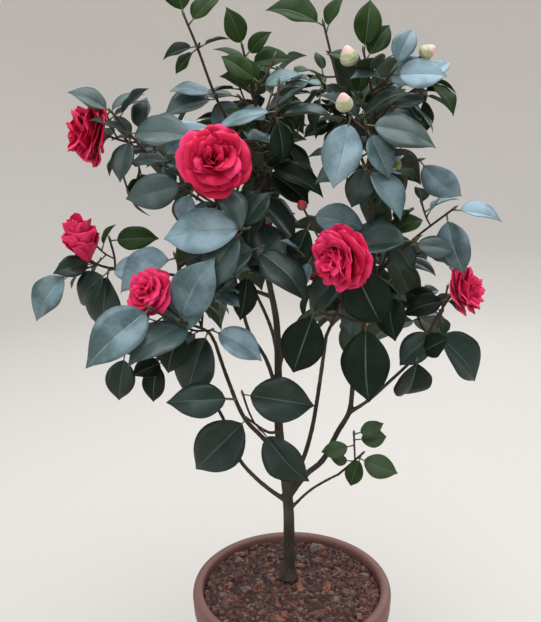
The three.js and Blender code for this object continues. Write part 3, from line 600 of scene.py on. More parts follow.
class Growth:
    """Grows the shrub: limbs, then shoots and heads, then leaves in the same order."""

    TRIES = (0, 1, -1, 2, -2, 3, -3)
    LIMB_STRETCHES = 12
    SHOOT_STRETCHES = 5
    TWIGLET_STRETCHES = 3
    SEEDS = (100, 900)
    SEED_STEP = 37
    FINE_SEED = 4000
    STEM_SINK = 2
    STEM_RADIUS = 2.3
    LARGEST_STEM = 2.4
    STEM_SHARE = 0.9
    FORK_PLACES = 40
    FORK_BACK = 0.45
    FORK_LIMITS = (0.12, 0.95)
    SHOOT_BEND = 0.55
    SHOOT_SAG = 0.06
    SHOOT_GAP = 1
    CLEAR_SHARES = (0.4, 0.55, 0.7, 0.85, 1)
    REARWARD = 0.15
    DROOP = 0.3
    FIRST_LEAF = 0.99
    LOWEST_LEAF = 0.3
    LEAF_STAGGER = 0.04
    OPEN_SHARE = 0.4
    AIM_STEP = 4
    LEAN = 30
    LEAN_STEP = 13
    TURN_STEP = 32
    TWIGLET_START = 0.12
    TWIGLET_SPAN = 0.72
    TWIGLET_STEP = 52
    TWIGLET_TESTS = (0.5, 0.75, 1)
    FINE_STEP = 26
    FINE_DROOP = np.array((0, 0, 0.15))

    def __init__(self) -> None:
        """Grows everything that the solids have, and then what is finer."""
        self.limbs = {limb.name: limb for limb in LIMBS}
        self.shoots: list[Shoot] = []
        self.twiglets: list[Shoot] = []
        self.heads: list[Head] = []
        self.leaves: list[Leaf] = []
        self.skipped: list[Bid] = []
        self.starts: list[Array] = []
        self.ends: list[Array] = []
        self.radii: list[float] = []
        self.owners: list[str] = []
        for limb in LIMBS:
            self._note(limb.line, limb.radius, self.LIMB_STRETCHES, limb.name)
        for mass in MASSES:
            self._grow_shoots(mass)
        for only_more, seed in zip((False, True), self.SEEDS):
            for index, mass in enumerate(MASSES):
                self._set_leaves(mass, SeededNumbers(seed + self.SEED_STEP * index), only_more)
        self._grow_finer()

    def _note(self, line: Route, radius: Callable[[float], float], count: int, owner: str) -> None:
        """Keeps a limb's or a shoot's straight stretches for the clearance rule.

        Args:
            line: Its route.
            radius: Its radius by the share of the way.
            count: How many stretches it is cut into.
            owner: Its name.
        """
        for i in range(count):
            self.starts.append(line.place(i / count))
            self.ends.append(line.place((i + 1) / count))
            self.radii.append(radius((i + 0.5) / count))
            self.owners.append(owner)

    def _gaps(self, places: Array) -> Array:
        """Measures from places to the skin of every stretch.

        Args:
            places: The places, one to a row.

        Returns:
            One row for each place and one column for each stretch.
        """
        starts, ends = np.array(self.starts), np.array(self.ends)
        along = ends - starts
        shares = np.einsum("psk,sk->ps", places[:, None] - starts, along)
        shares = np.clip(shares / np.einsum("sk,sk->s", along, along), 0, 1)
        nearest = starts + shares[..., None] * along
        return np.linalg.norm(places[:, None] - nearest, axis=2) - np.array(self.radii)

    def _stem_start(self, mass: Mass, limb: Limb) -> Array:
        """Gives the place where a mass's stem starts: its own, or just inside its limb's tip."""
        tip = limb.line.place(1) - self.STEM_SINK * limb.line.heading(1)
        return np.array(mass.at, float) if mass.at else tip

    def _fork_share(self, stem: Shoot, tip: Array) -> float:
        """Finds where a side shoot leaves the stem.

        Args:
            stem: The stem.
            tip: The place that the side shoot makes for.

        Returns:
            The share of the way along the stem, a little back from the nearest place.
        """
        shares = np.arange(self.FORK_PLACES + 1) / self.FORK_PLACES
        gaps = [float(np.linalg.norm(stem.line.place(share) - tip)) for share in shares]
        nearest = int(np.argmin(gaps))
        back = self.FORK_BACK * gaps[nearest] / stem.line.length
        return min(max(shares[nearest] - back, self.FORK_LIMITS[0]), self.FORK_LIMITS[1])

    def _grow_shoots(self, mass: Mass) -> None:
        """Grows the shoots of one mass, its stem first, with their heads.

        Args:
            mass: The mass.
        """
        limb = self.limbs[mass.limb]
        grown: list[Shoot] = []
        for index, plan in enumerate(mass.shoots):
            tip = np.array(plan.to, float)
            between = [np.array(place, float) for place in plan.by]
            if index == 0:
                start = self._stem_start(mass, limb)
                narrowed = min(limb.diameters[1] / 2, self.LARGEST_STEM) * self.STEM_SHARE
                thick = self.STEM_RADIUS if mass.at else narrowed
            else:
                share = self._fork_share(grown[0], between[0] if between else tip)
                start = grown[0].line.place(share)
                thick = grown[0].radius(share) * TWIG_FORK_SHARE
            if not between:
                sag = np.array((0, 0, -self.SHOOT_SAG * np.linalg.norm(tip - start)))
                between = [start + (tip - start) * self.SHOOT_BEND + sag]
            line = Route([start, *between, tip])
            grown.append(Shoot(plan, line, thick, f"{mass.name}:{index}", mass))
        for shoot in [shoot for shoot in grown if self._is_clear(shoot)]:
            self.shoots.append(shoot)
            self._note(shoot.line, shoot.radius, self.SHOOT_STRETCHES, shoot.owner)
            self._top(shoot)

    def _is_clear(self, shoot: Shoot) -> bool:
        """Says whether a shoot runs clear of the limbs and of the other masses.

        Args:
            shoot: The shoot.

        Returns:
            True where it does.
        """
        gaps = self._gaps(np.array([shoot.line.place(share) for share in self.CLEAR_SHARES]))
        gaps -= np.array([shoot.radius(share) for share in self.CLEAR_SHARES])[:, None]
        other = np.array([owner.split(":")[0] != shoot.mass.name for owner in self.owners])
        return bool(np.all(gaps[:, other] > self.SHOOT_GAP))

    def _top(self, shoot: Shoot) -> None:
        """Sets the blossom or bud on a shoot's tip.

        Args:
            shoot: The shoot.
        """
        plan = shoot.plan
        if not plan.blossom and not plan.bud:
            return
        width = plan.blossom or plan.bud * BUD_WIDTH_SHARE
        depth = plan.blossom * plan.deep if plan.blossom else plan.bud
        face = unit(np.array(plan.face, float))
        self.heads.append(
            Head(shoot.line.place(1), face, width, depth, bool(plan.blossom), shoot.owner))

    def is_room(self, leaf: Leaf, air: tuple[float, float]) -> bool:
        """Says whether a leaf is clear of every limb, shoot, head and leaf.

        Args:
            leaf: The leaf.
            air: How much leaves keep between them, and from a twig.

        Returns:
            True where the leaf has room.
        """
        gaps = self._gaps(leaf.samples)
        own = np.array([owner == leaf.owner for owner in self.owners])
        counted = ~own[None, :] | (Leaf.SHARES > self.OPEN_SHARE)[:, None]
        if np.any(counted & (gaps < air[1])):
            return False
        for head in self.heads:
            if np.any(np.linalg.norm(leaf.samples - head.centre, axis=1) < head.room):
                return False
        return not any(leaf.meets(other, air[0]) for other in self.leaves)

    @staticmethod
    def _front_light(height: float, turn: float | None) -> Array:
        """Gives what a blade on the front turns its face to.

        Args:
            height: The height of the leaf's root.
            turn: Its own angle from the sky to the front, where it has one.

        Returns:
            The unit direction.
        """
        share = min(max((height - LOW_LIGHT[0]) / (HIGH_LIGHT[0] - LOW_LIGHT[0]), 0), 1)
        usual = LOW_LIGHT[1] + (HIGH_LIGHT[1] - LOW_LIGHT[1]) * share
        angle = math.radians(usual if turn is None else turn)
        return np.array((0, -math.sin(angle), math.cos(angle)))

    @staticmethod
    def _aimed(clock: float, lean: float) -> Array:
        """Gives the direction of a leaf aimed by its clock angle and its lean to the front."""
        turn, tilt = math.radians(clock), math.radians(lean)
        return np.array((math.sin(turn), 0, math.cos(turn))) * math.cos(tilt) - (0, math.sin(tilt), 0)

    def _round(self, axis: Array, turn: float, spread: float, rearward: bool = True,
               ) -> Array:
        """Gives the direction of a leaf that is set round its shoot.

        Args:
            axis: The shoot's unit direction.
            turn: The angle round it, in degrees.
            spread: The angle away from it, in degrees.
            rearward: Whether the leaf is turned to the rear and down.

        Returns:
            The unit direction.
        """
        side = cross_axis(axis)
        over = np.cross(axis, side)
        angle, opened = math.radians(turn), math.radians(spread)
        direction = axis * math.cos(opened) + math.sin(opened) * (
            side * math.cos(angle) + over * math.sin(angle))
        if rearward:
            direction[1] = abs(direction[1]) + self.REARWARD
            direction[2] -= self.DROOP
        return unit(direction)

    def _set_leaves(self, mass: Mass, draw: SeededNumbers, only_more: bool) -> None:
        """Sets the leaves of a mass, and keeps the aimed ones that find no room.

        Args:
            mass: The mass.
            draw: Its source of numbers.
            only_more: Whether only the further leaves are set.
        """
        for shoot in [shoot for shoot in self.shoots if shoot.mass is mass]:
            aims = () if only_more else shoot.plan.leaves
            crowded = 1 if shoot.plan.blossom or shoot.plan.bud else 0
            for i in range(len(aims) + shoot.plan.more):
                drawn = (draw(), draw(), draw(), draw())
                back = (i + crowded) * LEAF_SPACING / shoot.line.length
                share = max(self.FIRST_LEAF - back, self.LOWEST_LEAF + self.LEAF_STAGGER * (i % 3))
                aim = aims[i] if i < len(aims) else None
                bid = Bid(shoot, share, drawn, aim, i)
                if not self._set(bid, LEAF_AIR) and aim:
                    self.skipped.append(bid)

    def _set(self, bid: Bid, air: tuple[float, float]) -> bool:
        """Tries one leaf at a few near angles.

        Args:
            bid: The leaf that asks for room.
            air: How much leaves keep between them, and from a twig.

        Returns:
            True where the leaf found room.
        """
        line, aim, drawn = bid.shoot.line, bid.aim, bid.drawn
        root, axis = line.place(bid.share), line.heading(bid.share)
        length = AIMED_SCALE * aim[1] if aim else LEAF_LENGTH * (0.78 + 0.3 * drawn[1])
        width_share = LEAF_WIDTH_SHARE * (0.92 + 0.16 * drawn[2])
        light = np.array(REAR_LIGHT)
        if aim:
            light = self._front_light(root[2], aim[2] if len(aim) > 2 else None)
        roll = aim[3] if aim and len(aim) > 3 else (drawn[3] - 0.5) * LEAF_ROLL
        for step in self.TRIES:
            if aim:
                lean = self.LEAN * drawn[0] + self.LEAN_STEP * step
                direction = self._aimed(aim[0] + self.AIM_STEP * step, lean)
            else:
                turn = 360 * drawn[0] + LEAF_TURN * bid.number + self.TURN_STEP * step
                direction = self._round(axis, turn, LEAF_SPREAD)
            leaf = Leaf(root, direction, light, roll, length, width_share, bid.shoot.owner,
                        bid.number)
            if self.is_room(leaf, air):
                self.leaves.append(leaf)
                return True
        return False

    def _grow_finer(self) -> None:
        """Grows what the solids leave out: closer leaves, side twigs and their leaves."""
        for bid in self.skipped:
            self._set(bid, FINE_AIR)
        rooms = {mass.name: self._room(mass) for mass in MASSES}
        draw = SeededNumbers(self.FINE_SEED)
        for shoot in self.shoots:
            self._grow_twiglets(shoot, rooms[shoot.mass.name], draw)
        bare = [shoot for shoot in self.shoots
                if shoot.mass.rear or (shoot.plan.more > 1 and not shoot.plan.leaves)]
        for shoot in bare + self.twiglets:
            self._fill_out(shoot, rooms[shoot.mass.name], draw)
        leafy = {leaf.owner for leaf in self.leaves}
        self.twiglets = [twiglet for twiglet in self.twiglets if twiglet.owner in leafy]

    def _room(self, mass: Mass) -> Room:
        """Measures the room that a mass takes.

        Args:
            mass: The mass.

        Returns:
            Its lowest and highest corners.
        """
        own = [leaf.samples for leaf in self.leaves if leaf.owner.split(":")[0] == mass.name]
        own += [shoot.line.place(1)[None] for shoot in self.shoots if shoot.mass is mass]
        places = np.concatenate(own)
        return places.min(axis=0), places.max(axis=0)

    def _grow_twiglets(self, shoot: Shoot, room: Room, draw: SeededNumbers) -> None:
        """Grows short side twigs off one long shoot.

        Args:
            shoot: The shoot.
            room: The lowest and highest corners of its mass's room.
            draw: The source of numbers.
        """
        high = shoot.mass.rear or shoot.line.place(1)[2] > TWIGLET_FOOT
        count = int(shoot.line.length // TWIGLET_SPACING) if high else 0
        for number in range(count):
            share = self.TWIGLET_START + self.TWIGLET_SPAN * (number + draw()) / count
            turn, reach = 360 * draw(), draw.between(*TWIGLET_REACH)
            start = shoot.line.place(share)
            for step in self.TRIES:
                direction = self._round(shoot.line.heading(share), turn + self.TWIGLET_STEP * step,
                                        TWIGLET_SPREAD, rearward=not shoot.mass.rear)
                tip = start + direction * reach + (0, 0, TWIGLET_RISE)
                line = Route([start, start + direction * reach * 0.5, tip])
                if self._is_free(line, shoot, room):
                    thick = shoot.radius(share) * TWIGLET_FORK_SHARE
                    twiglet = Shoot(Plan(to=tuple(tip)), line, thick,
                                    f"{shoot.owner}:{number}", shoot.mass)
                    self.twiglets.append(twiglet)
                    self._note(line, twiglet.radius, self.TWIGLET_STRETCHES, twiglet.owner)
                    break

    def _is_free(self, line: Route, shoot: Shoot, room: Room) -> bool:
        """Says whether a side twig keeps to its mass's room, clear of limbs, leaves and heads.

        Args:
            line: The side twig's line.
            shoot: The shoot that it grows from.
            room: The lowest and highest corners of its mass's room.

        Returns:
            True where it is free.
        """
        places = np.array([line.place(share) for share in self.TWIGLET_TESTS])
        tip = places[-1]
        if np.any(tip < room[0] + TWIGLET_ROOM_MARGIN) or np.any(tip > room[1] - TWIGLET_ROOM_MARGIN):
            return False
        other = np.array([owner != shoot.owner for owner in self.owners])
        if np.any(self._gaps(places)[:, other] < TWIGLET_TWIG_GAP):
            return False
        if any(np.linalg.norm(tip - head.centre) < head.room + TWIGLET_HEAD_GAP
               for head in self.heads):
            return False
        return not any(leaf.near(places, TWIGLET_LEAF_GAP) for leaf in self.leaves)

    def _fill_out(self, shoot: Shoot, room: Room, draw: SeededNumbers) -> None:
        """Sets the finer leaves of one shoot, on all its sides, within its mass's room.

        Args:
            shoot: The shoot or side twig.
            room: The lowest and highest corners of its mass's room.
            draw: The source of numbers.
        """
        rear = shoot.mass.rear
        low, high = FINE_REAR_LEAF if rear else FINE_FRONT_LEAF
        light = unit(np.array((0, 0.3 if rear else -0.3, 0.9)))
        for i in range(3 if rear or not shoot.plan.more else 1):
            drawn = (draw(), draw(), draw(), draw())
            share = max(0.97 - (i + 0.5) * FINE_SPACING / shoot.line.length, self.LOWEST_LEAF)
            root, axis = shoot.line.place(share), shoot.line.heading(share)
            length = low + (high - low) * drawn[1]
            for step in self.TRIES:
                turn = 360 * drawn[0] + LEAF_TURN * i + self.FINE_STEP * step
                direction = unit(self._round(axis, turn, FINE_SPREAD, False) - self.FINE_DROOP)
                leaf = Leaf(root, direction, light, (drawn[3] - 0.5) * FINE_ROLL, length,
                            LEAF_WIDTH_SHARE, shoot.owner)
                inside = (np.all(leaf.samples > room[0] - FINE_ROOM_MARGIN)
                          and np.all(leaf.samples < room[1] + FINE_ROOM_MARGIN))
                if inside and self.is_room(leaf, FINE_AIR):
                    self.leaves.append(leaf)
                    break


# Finishes


@dataclass(frozen=True)
class Wire:
    """One output of a material's nodes, ready for sums."""

    shader: "Shader"
    socket: NodeSocket

    def _sum(self, operation: str, first: "Wire | float", second: "Wire | float") -> "Wire":
        """Adds one Math node and gives its output."""
        return self.shader.node("Math", {"operation": operation}, {0: first, 1: second})

    def __add__(self, other: "Wire | float") -> "Wire":
        """Adds."""
        return self._sum("ADD", self, other)

    __radd__ = __add__

    def __sub__(self, other: "Wire | float") -> "Wire":
        """Takes the other away."""
        return self._sum("SUBTRACT", self, other)

    def __rsub__(self, other: float) -> "Wire":
        """Takes this away from the other."""
        return self._sum("SUBTRACT", other, self)

    def __mul__(self, other: "Wire | float") -> "Wire":
        """Multiplies."""
        return self._sum("MULTIPLY", self, other)

    __rmul__ = __mul__

    def __pow__(self, other: float) -> "Wire":
        """Raises to a power."""
        return self._sum("POWER", self, other)

    def wave(self) -> "Wire":
        """Gives the sine of the value, in radians."""
        return self.shader.node("Math", {"operation": "SINE"}, {0: self})

    def size(self) -> "Wire":
        """Gives the value without its sign."""
        return self.shader.node("Math", {"operation": "ABSOLUTE"}, {0: self})

    def between(self, low: float, high: float) -> "Wire":
        """Gives 0 below the low value, 1 above the high one and a ramp between."""
        return self.shader.node("MapRange", {"clamp": True}, {0: self, 1: low, 2: high})


class Shader:
    """The nodes of one material, round one Principled shader."""

    def __init__(self, name: str) -> None:
        """Starts the material.

        Args:
            name: Its name.
        """
        self.material = bpy.data.materials.new(name)
        self.material.use_nodes = True
        self.tree = self.material.node_tree
        self.surface = self.tree.nodes["Principled BSDF"]

    def node(self, kind: str, settings: dict | None = None, inputs: dict | None = None,
             output: int | str = 0) -> Wire:
        """Adds any node.

        Args:
            kind: The node's type, without the words ShaderNode.
            settings: Its own settings, set first.
            inputs: Values or wires by socket name or number.
            output: The output that is wanted.

        Returns:
            The output, ready for sums.
        """
        made = self.tree.nodes.new("ShaderNode" + kind)
        for name, value in (settings or {}).items():
            setattr(made, name, value)
        for name, value in (inputs or {}).items():
            self.join(made.inputs[name], value)
        return Wire(self, made.outputs[output])

    def join(self, socket: NodeSocket, value: "Wire | float | Numbers") -> None:
        """Feeds a socket.

        Args:
            socket: The socket.
            value: A wire, or a constant.
        """
        if isinstance(value, Wire):
            self.tree.links.new(value.socket, socket)
        elif isinstance(value, tuple) and socket.type == "RGBA":
            socket.default_value = (*value, 1)
        else:
            socket.default_value = value

    def finish(self, **sockets: "Wire | float | Numbers") -> Material:
        """Feeds the Principled shader and gives the material.

        Args:
            **sockets: Values or wires by socket name, with low lines for spaces.

        Returns:
            The material.
        """
        for name, value in sockets.items():
            self.join(self.surface.inputs[name.replace("_", " ")], value)
        return self.material

    def blended(self, share: Wire, low: "Wire | Colour", high: "Wire | Colour") -> Wire:
        """Mixes two colours by a share."""
        settings = {"data_type": "RGBA", "clamp_factor": True}
        return self.node("Mix", settings, {0: share, 6: low, 7: high}, output=2)

    def on_blade(self, axis: str) -> Wire:
        """Gives the share across a blade, by X, or along it, by Y, from its own UV map."""
        place = self.node("TexCoord", output="UV")
        return self.node("SeparateXYZ", {}, {0: place}, output=axis)

    def grain(self, scale: float, detail: float = 3, stretch: Colour = (1, 1, 1)) -> Wire:
        """Gives noise on the object's own coordinates.

        Args:
            scale: Grains in a metre.
            detail: The noise's finer octaves.
            stretch: How the grain is scaled along each axis.

        Returns:
            The noise, from 0 to 1.
        """
        place = self.node("TexCoord", output="Object")
        placed = self.node("Mapping", {}, {"Vector": place, "Scale": stretch})
        return self.node("TexNoise", {}, {"Vector": placed, "Scale": scale, "Detail": detail})

    def relief(self, height: Wire, depth: float, strength: float = 1) -> Wire:
        """Gives a normal bent by a height, from 0 to 1, with its full depth in metres."""
        return self.node("Bump", {}, {"Height": height, "Distance": depth, "Strength": strength})


@dataclass(frozen=True)
class LeafFinish:
    """The glossy, leathery upper face of a leaf, with side veins and a painted highlight down its
    middle.
    """

    name: str
    deep: Colour
    light: Colour
    roughness: float = 0.36
    gloss: float = 0.4
    veins: float = 9

    def material(self) -> Material:
        """Makes the material.

        Returns:
            The material.
        """
        shader = Shader(self.name)
        across, along = shader.on_blade("X"), shader.on_blade("Y")
        side = (across - 0.5).size() * 2
        vein = ((along - 0.32 * side) * (2 * math.pi * self.veins)).wave()
        furrow = vein.between(0.72, 1) * (1 - side)
        # Random patches, plus a painted highlight that makes the middle of the blade lighter than its
        # edges.
        patch = shader.grain(30, 3).between(0.4, 0.6) * 0.75 + (1 - side) * 0.25
        blade = shader.blended(patch, self.deep, self.light)
        paler = tuple(min(1.6 * part + 0.01, 1) for part in self.light)
        colour = shader.blended(furrow * 0.14, blade, paler)
        mottle = shader.grain(420, 3)
        height = mottle * 0.4 + (1 - furrow) * 0.6
        return shader.finish(Base_Color=colour, Roughness=self.roughness + 0.12 * mottle,
                             Normal=shader.relief(height, 0.0004, 0.35),
                             Specular_IOR_Level=self.gloss, Coat_Weight=0.35 * self.gloss,
                             Coat_Roughness=0.18)


@dataclass(frozen=True)
class PlainFinish:
    """A matt part of a leaf, bud or shoot, in two tones with a fine relief."""

    name: str
    deep: Colour
    light: Colour
    roughness: float = 0.55
    wash: tuple[float, float] = (60, 3)
    clear: float = 0.65
    pits: tuple[float, float] = (500, 3)
    relief: tuple[float, float] = (0.0003, 0.4)

    def material(self) -> Material:
        """Makes the material.

        Returns:
            The material.
        """
        shader = Shader(self.name)
        wash = shader.grain(*self.wash).between(0.35, self.clear)
        normal = shader.relief(shader.grain(*self.pits), *self.relief)
        return shader.finish(Base_Color=shader.blended(wash, self.deep, self.light),
                             Roughness=self.roughness, Normal=normal)


@dataclass(frozen=True)
class PetalFinish:
    """A silky petal, deeper at its foot and paler towards its edge: partly its colour, partly painted
    shade and light.
    """

    name: str
    deep: Colour
    light: Colour

    def material(self) -> Material:
        """Makes the material.

        Returns:
            The material.
        """
        shader = Shader(self.name)
        across, along = shader.on_blade("X"), shader.on_blade("Y")
        streak = ((across - 0.5) * 70).wave() * 0.5 + 0.5
        # Deeper at the foot, in the flower's heart, and paler at the edge: partly the petal's own
        # colour, partly painted shade in the heart and painted light on the rim.
        edge = along.between(0.25, 1) ** 1.6
        wash = shader.grain(45, 2).between(0.35, 0.7)
        colour = shader.blended(edge * 0.65 + wash * 0.35, self.deep, self.light)
        height = streak * 0.5 + shader.grain(350, 2) * 0.5
        return shader.finish(Base_Color=colour, Roughness=0.62, Specular_IOR_Level=0.22,
                             Normal=shader.relief(height, 0.0004, 0.3))


@dataclass(frozen=True)
class BarkFinish:
    """Fine grey-brown bark with pale flecks and long shallow cracks, their grooves darkened as painted
    shade.
    """

    name: str
    deep: Colour
    light: Colour
    fleck: Colour

    def material(self) -> Material:
        """Makes the material.

        Returns:
            The material.
        """
        shader = Shader(self.name)
        crack = shader.grain(240, 6, (1, 1, 0.22))
        patch = shader.grain(34, 4, (1, 1, 0.5)).between(0.4, 0.68)
        flecks = shader.grain(620, 2, (1, 1, 0.6)).between(0.62, 0.72)
        colour = shader.blended(patch, self.deep, self.light)
        colour = shader.blended(flecks * 0.6, colour, self.fleck)
        # The grooves of the cracks are darkened towards the deep bark colour: painted shade.
        colour = shader.blended((1 - crack).between(0.55, 0.75) * 0.6, colour, self.deep)
        height = crack * 0.8 + flecks * 0.2
        return shader.finish(Base_Color=colour, Roughness=0.72 + 0.2 * crack,
                             Normal=shader.relief(height, 0.0009, 0.7))


@dataclass(frozen=True)
class PotFinish:
    """Matt brown-red moulded pot, dusted and scuffed."""

    name: str = "pot_body"
    body: Colour = (0.17, 0.074, 0.06)
    dust: Colour = (0.22, 0.115, 0.096)

    def material(self) -> Material:
        """Makes the material.

        Returns:
            The material.
        """
        shader = Shader(self.name)
        cloud = shader.grain(14, 5).between(0.38, 0.72)
        speck = shader.grain(900, 2).between(0.6, 0.75)
        streak = shader.grain(60, 4, (1, 1, 0.12)).between(0.5, 0.75)
        colour = shader.blended(cloud * 0.55, self.body, self.dust)
        colour = shader.blended(streak * 0.3, colour, self.dust)
        darker = tuple(0.6 * part for part in self.body)
        colour = shader.blended(speck * 0.35, colour, darker)
        height = shader.grain(700, 4) * 0.6 + shader.grain(40, 3) * 0.4
        return shader.finish(Base_Color=colour, Roughness=0.5 + 0.22 * cloud,
                             Normal=shader.relief(height, 0.0006, 0.45))


@dataclass(frozen=True)
class ChipFinish(PlainFinish):
    """One of the sorts of bark chip and grit in the growing mix, with deeper pits."""

    roughness: float = 0.85
    wash: tuple[float, float] = (110, 4)
    clear: float = 0.68
    pits: tuple[float, float] = (650, 4)
    relief: tuple[float, float] = (0.0016, 0.8)


@dataclass(frozen=True)
class FloorFinish:
    """The plain pale floor and backdrop of the studio."""

    name: str = "pale_floor"
    colour: Colour = (0.6, 0.565, 0.53)

    def material(self) -> Material:
        """Makes the material."""
        shader = Shader(self.name)
        return shader.finish(Base_Color=self.colour, Roughness=0.85, Specular_IOR_Level=0.15)


class Tint(Enum):
    """The leaf tints, from painted sky sheen through painted shade to the olive and young greens."""

    PALE = "P"
    BLUE = "B"
    MIDDLE = "M"
    DEEP = "D"
    SHADED = "S"
    OLIVE = "O"
    YOUNG = "Y"


# Lit and shaded copies of one leaf green: the pale and blue tints are painted sky sheen, the middle,
# deep and shaded ones are painted shade; the olive and young ones are own greens.
LEAF_FINISHES = {
    Tint.PALE: LeafFinish("leaf_painted_sky_sheen", (0.1, 0.175, 0.2), (0.27, 0.4, 0.48), 0.34),
    Tint.BLUE: LeafFinish("leaf_painted_soft_sheen", (0.045, 0.088, 0.09), (0.15, 0.235, 0.27), 0.34),
    Tint.MIDDLE: LeafFinish("leaf_painted_half_light", (0.02, 0.044, 0.036), (0.06, 0.1, 0.1), 0.34),
    Tint.DEEP: LeafFinish("leaf_painted_shade", (0.008, 0.02, 0.014), (0.02, 0.04, 0.034), 0.36, 0.28),
    Tint.SHADED: LeafFinish("leaf_shaded", (0.004, 0.01, 0.006), (0.009, 0.019, 0.012), 0.45, 0.12),
    Tint.OLIVE: LeafFinish("leaf_olive", (0.009, 0.028, 0.003), (0.022, 0.052, 0.008), 0.45, 0.14),
    Tint.YOUNG: LeafFinish("leaf_young", (0.028, 0.058, 0.018), (0.052, 0.094, 0.036), 0.4, 0.25),
}
UNDERSIDE = PlainFinish("leaf_underside", (0.02, 0.04, 0.014), (0.036, 0.062, 0.024))
RIB = PlainFinish("leaf_rib", (0.035, 0.068, 0.042), (0.06, 0.1, 0.066), 0.45)
# A midrib painted paler, as sky sheen, for the leaves with painted sky sheen.
SHEEN_RIB = PlainFinish("midrib_painted_sheen", (0.13, 0.2, 0.17), (0.26, 0.37, 0.34), 0.45)
STALK = PlainFinish("leaf_stalk", (0.055, 0.075, 0.028), (0.09, 0.1, 0.04), 0.5)
BARK = BarkFinish("bark", (0.03, 0.022, 0.015), (0.08, 0.066, 0.047), (0.16, 0.145, 0.115))
TWIG_BARK = BarkFinish("twig_bark", (0.03, 0.014, 0.009), (0.062, 0.034, 0.02), (0.1, 0.07, 0.045))


# Patterns that are stamped many times, each made once by mesh operators


def keep_mesh(made: bmesh.types.BMesh, name: str, smooth: bool) -> Mesh:
    """Keeps a worked bmesh as a mesh.

    Args:
        made: The worked mesh, which is freed.
        name: Its name.
        smooth: Whether its faces are shaded smooth.

    Returns:
        The mesh.
    """
    for face in made.faces:
        face.smooth = smooth
    mesh = bpy.data.meshes.new(name)
    made.to_mesh(mesh)
    made.free()
    return mesh


def stand(name: str, data: ID | None) -> Object:
    """Stands a new object in the scene.

    Args:
        name: Its name.
        data: Its mesh, light or camera.

    Returns:
        The object.
    """
    made = bpy.data.objects.new(name, data)
    bpy.context.scene.collection.objects.link(made)
    return made


def spun(profile: Sequence[Numbers], steps: int, name: str) -> Mesh:
    """Spins a profile round the upright axis into a skin.

    Args:
        profile: Its places, in metres, from one end to the other.
        steps: How many steps a full turn has.
        name: The mesh's name.

    Returns:
        The mesh.
    """
    made = bmesh.new()
    line = [made.verts.new(place) for place in profile]
    edges = [made.edges.new(pair) for pair in zip(line, line[1:])]
    bmesh.ops.spin(made, geom=line + edges, cent=(0, 0, 0), axis=(0, 0, 1), dvec=(0, 0, 0),
                   angle=2 * math.pi, steps=steps, use_merge=True)
    bmesh.ops.remove_doubles(made, verts=made.verts[:], dist=1e-6)
    bmesh.ops.recalc_face_normals(made, faces=made.faces[:])
    return keep_mesh(made, name, smooth=True)


def corners(mesh: Mesh) -> Array:
    """Gives a mesh's corners, one place to a row."""
    return np.array([corner.co for corner in mesh.vertices], float)


@dataclass(frozen=True)
class BladePattern:
    """A flat blade: x is a share of half its width, y runs from foot to tip, z is its skin."""

    rows: int
    columns: int
    rib: float
    outline: Callable[[float], float]
    skin: float = 0.01

    def mesh(self, name: str) -> Mesh:
        """Makes the blade as one closed thin shell.

        Args:
            name: The mesh's name.

        Returns:
            The blade. Finish 0 is its upper face, 1 its underside and 2 its midrib.
        """
        made = bmesh.new()
        layer = made.loops.layers.uv.new("blade")
        bmesh.ops.create_grid(made, x_segments=self.columns, y_segments=self.rows, size=1)
        step = 2 / self.columns
        for vertex in made.verts:
            side, share = vertex.co.x, (vertex.co.y + 1) / 2
            if self.rib and abs(side) > step / 2:
                outer = (abs(side) - step) / (1 - step)
                side = math.copysign(self.rib + (1 - self.rib) * outer, side)
            vertex.co = (side, share, 0)
        for face in made.faces:
            middle = sum(abs(vertex.co.x) for vertex in face.verts) / len(face.verts)
            face.material_index = 2 if middle < self.rib else 0
            for loop in face.loops:
                loop[layer].uv = (loop.vert.co.x / 2 + 0.5, loop.vert.co.y)
        for vertex in made.verts:
            vertex.co.x *= self.outline(vertex.co.y)
        bmesh.ops.remove_doubles(made, verts=made.verts[:], dist=1e-5)
        bmesh.ops.solidify(made, geom=made.faces[:], thickness=self.skin)
        bmesh.ops.recalc_face_normals(made, faces=made.faces[:])
        top = max(vertex.co.z for vertex in made.verts)
        low = min(vertex.co.z for vertex in made.verts)
        for vertex in made.verts:
            vertex.co.z = (vertex.co.z - low) / (top - low)
        for face in made.faces:
            face.normal_update()
            if face.normal.z < 0.5 and face.material_index == 0:
                face.material_index = 1
        return keep_mesh(made, name, smooth=True)


@dataclass(frozen=True)
class RodPattern:
    """A closed round rod of radius 1 along Z, from 0 to 1."""

    sides: int
    rows: int

    def mesh(self, name: str) -> Mesh:
        """Makes the rod.

        Args:
            name: The mesh's name.

        Returns:
            The rod.
        """
        made = bmesh.new()
        bmesh.ops.create_cone(made, cap_ends=True, segments=self.sides, radius1=1, radius2=1,
                              depth=1)
        bmesh.ops.translate(made, verts=made.verts[:], vec=(0, 0, 0.5))
        upright = [e for e in made.edges if abs(e.verts[0].co.z - e.verts[1].co.z) > 0.5]
        if self.rows > 1:
            bmesh.ops.subdivide_edges(made, edges=upright, cuts=self.rows - 1,
                                      use_grid_fill=True)
        return keep_mesh(made, name, smooth=True)


@dataclass(frozen=True)
class PebblePattern:
    """An angular lump, of a ball whose corners are pushed in and out."""

    seed: int
    fineness: int = 2
    roughness: float = 0.55

    def mesh(self, name: str) -> Mesh:
        """Makes the lump.

        Args:
            name: The mesh's name.

        Returns:
            The lump.
        """
        made = bmesh.new()
        bmesh.ops.create_icosphere(made, subdivisions=self.fineness, radius=1)
        for vertex in made.verts:
            spot = vertex.co * 1.1 + Vector((7.3 * self.seed, 0, 0))
            vertex.co *= 1 + self.roughness * noise.noise(spot) * 1.6
        return keep_mesh(made, name, smooth=False)


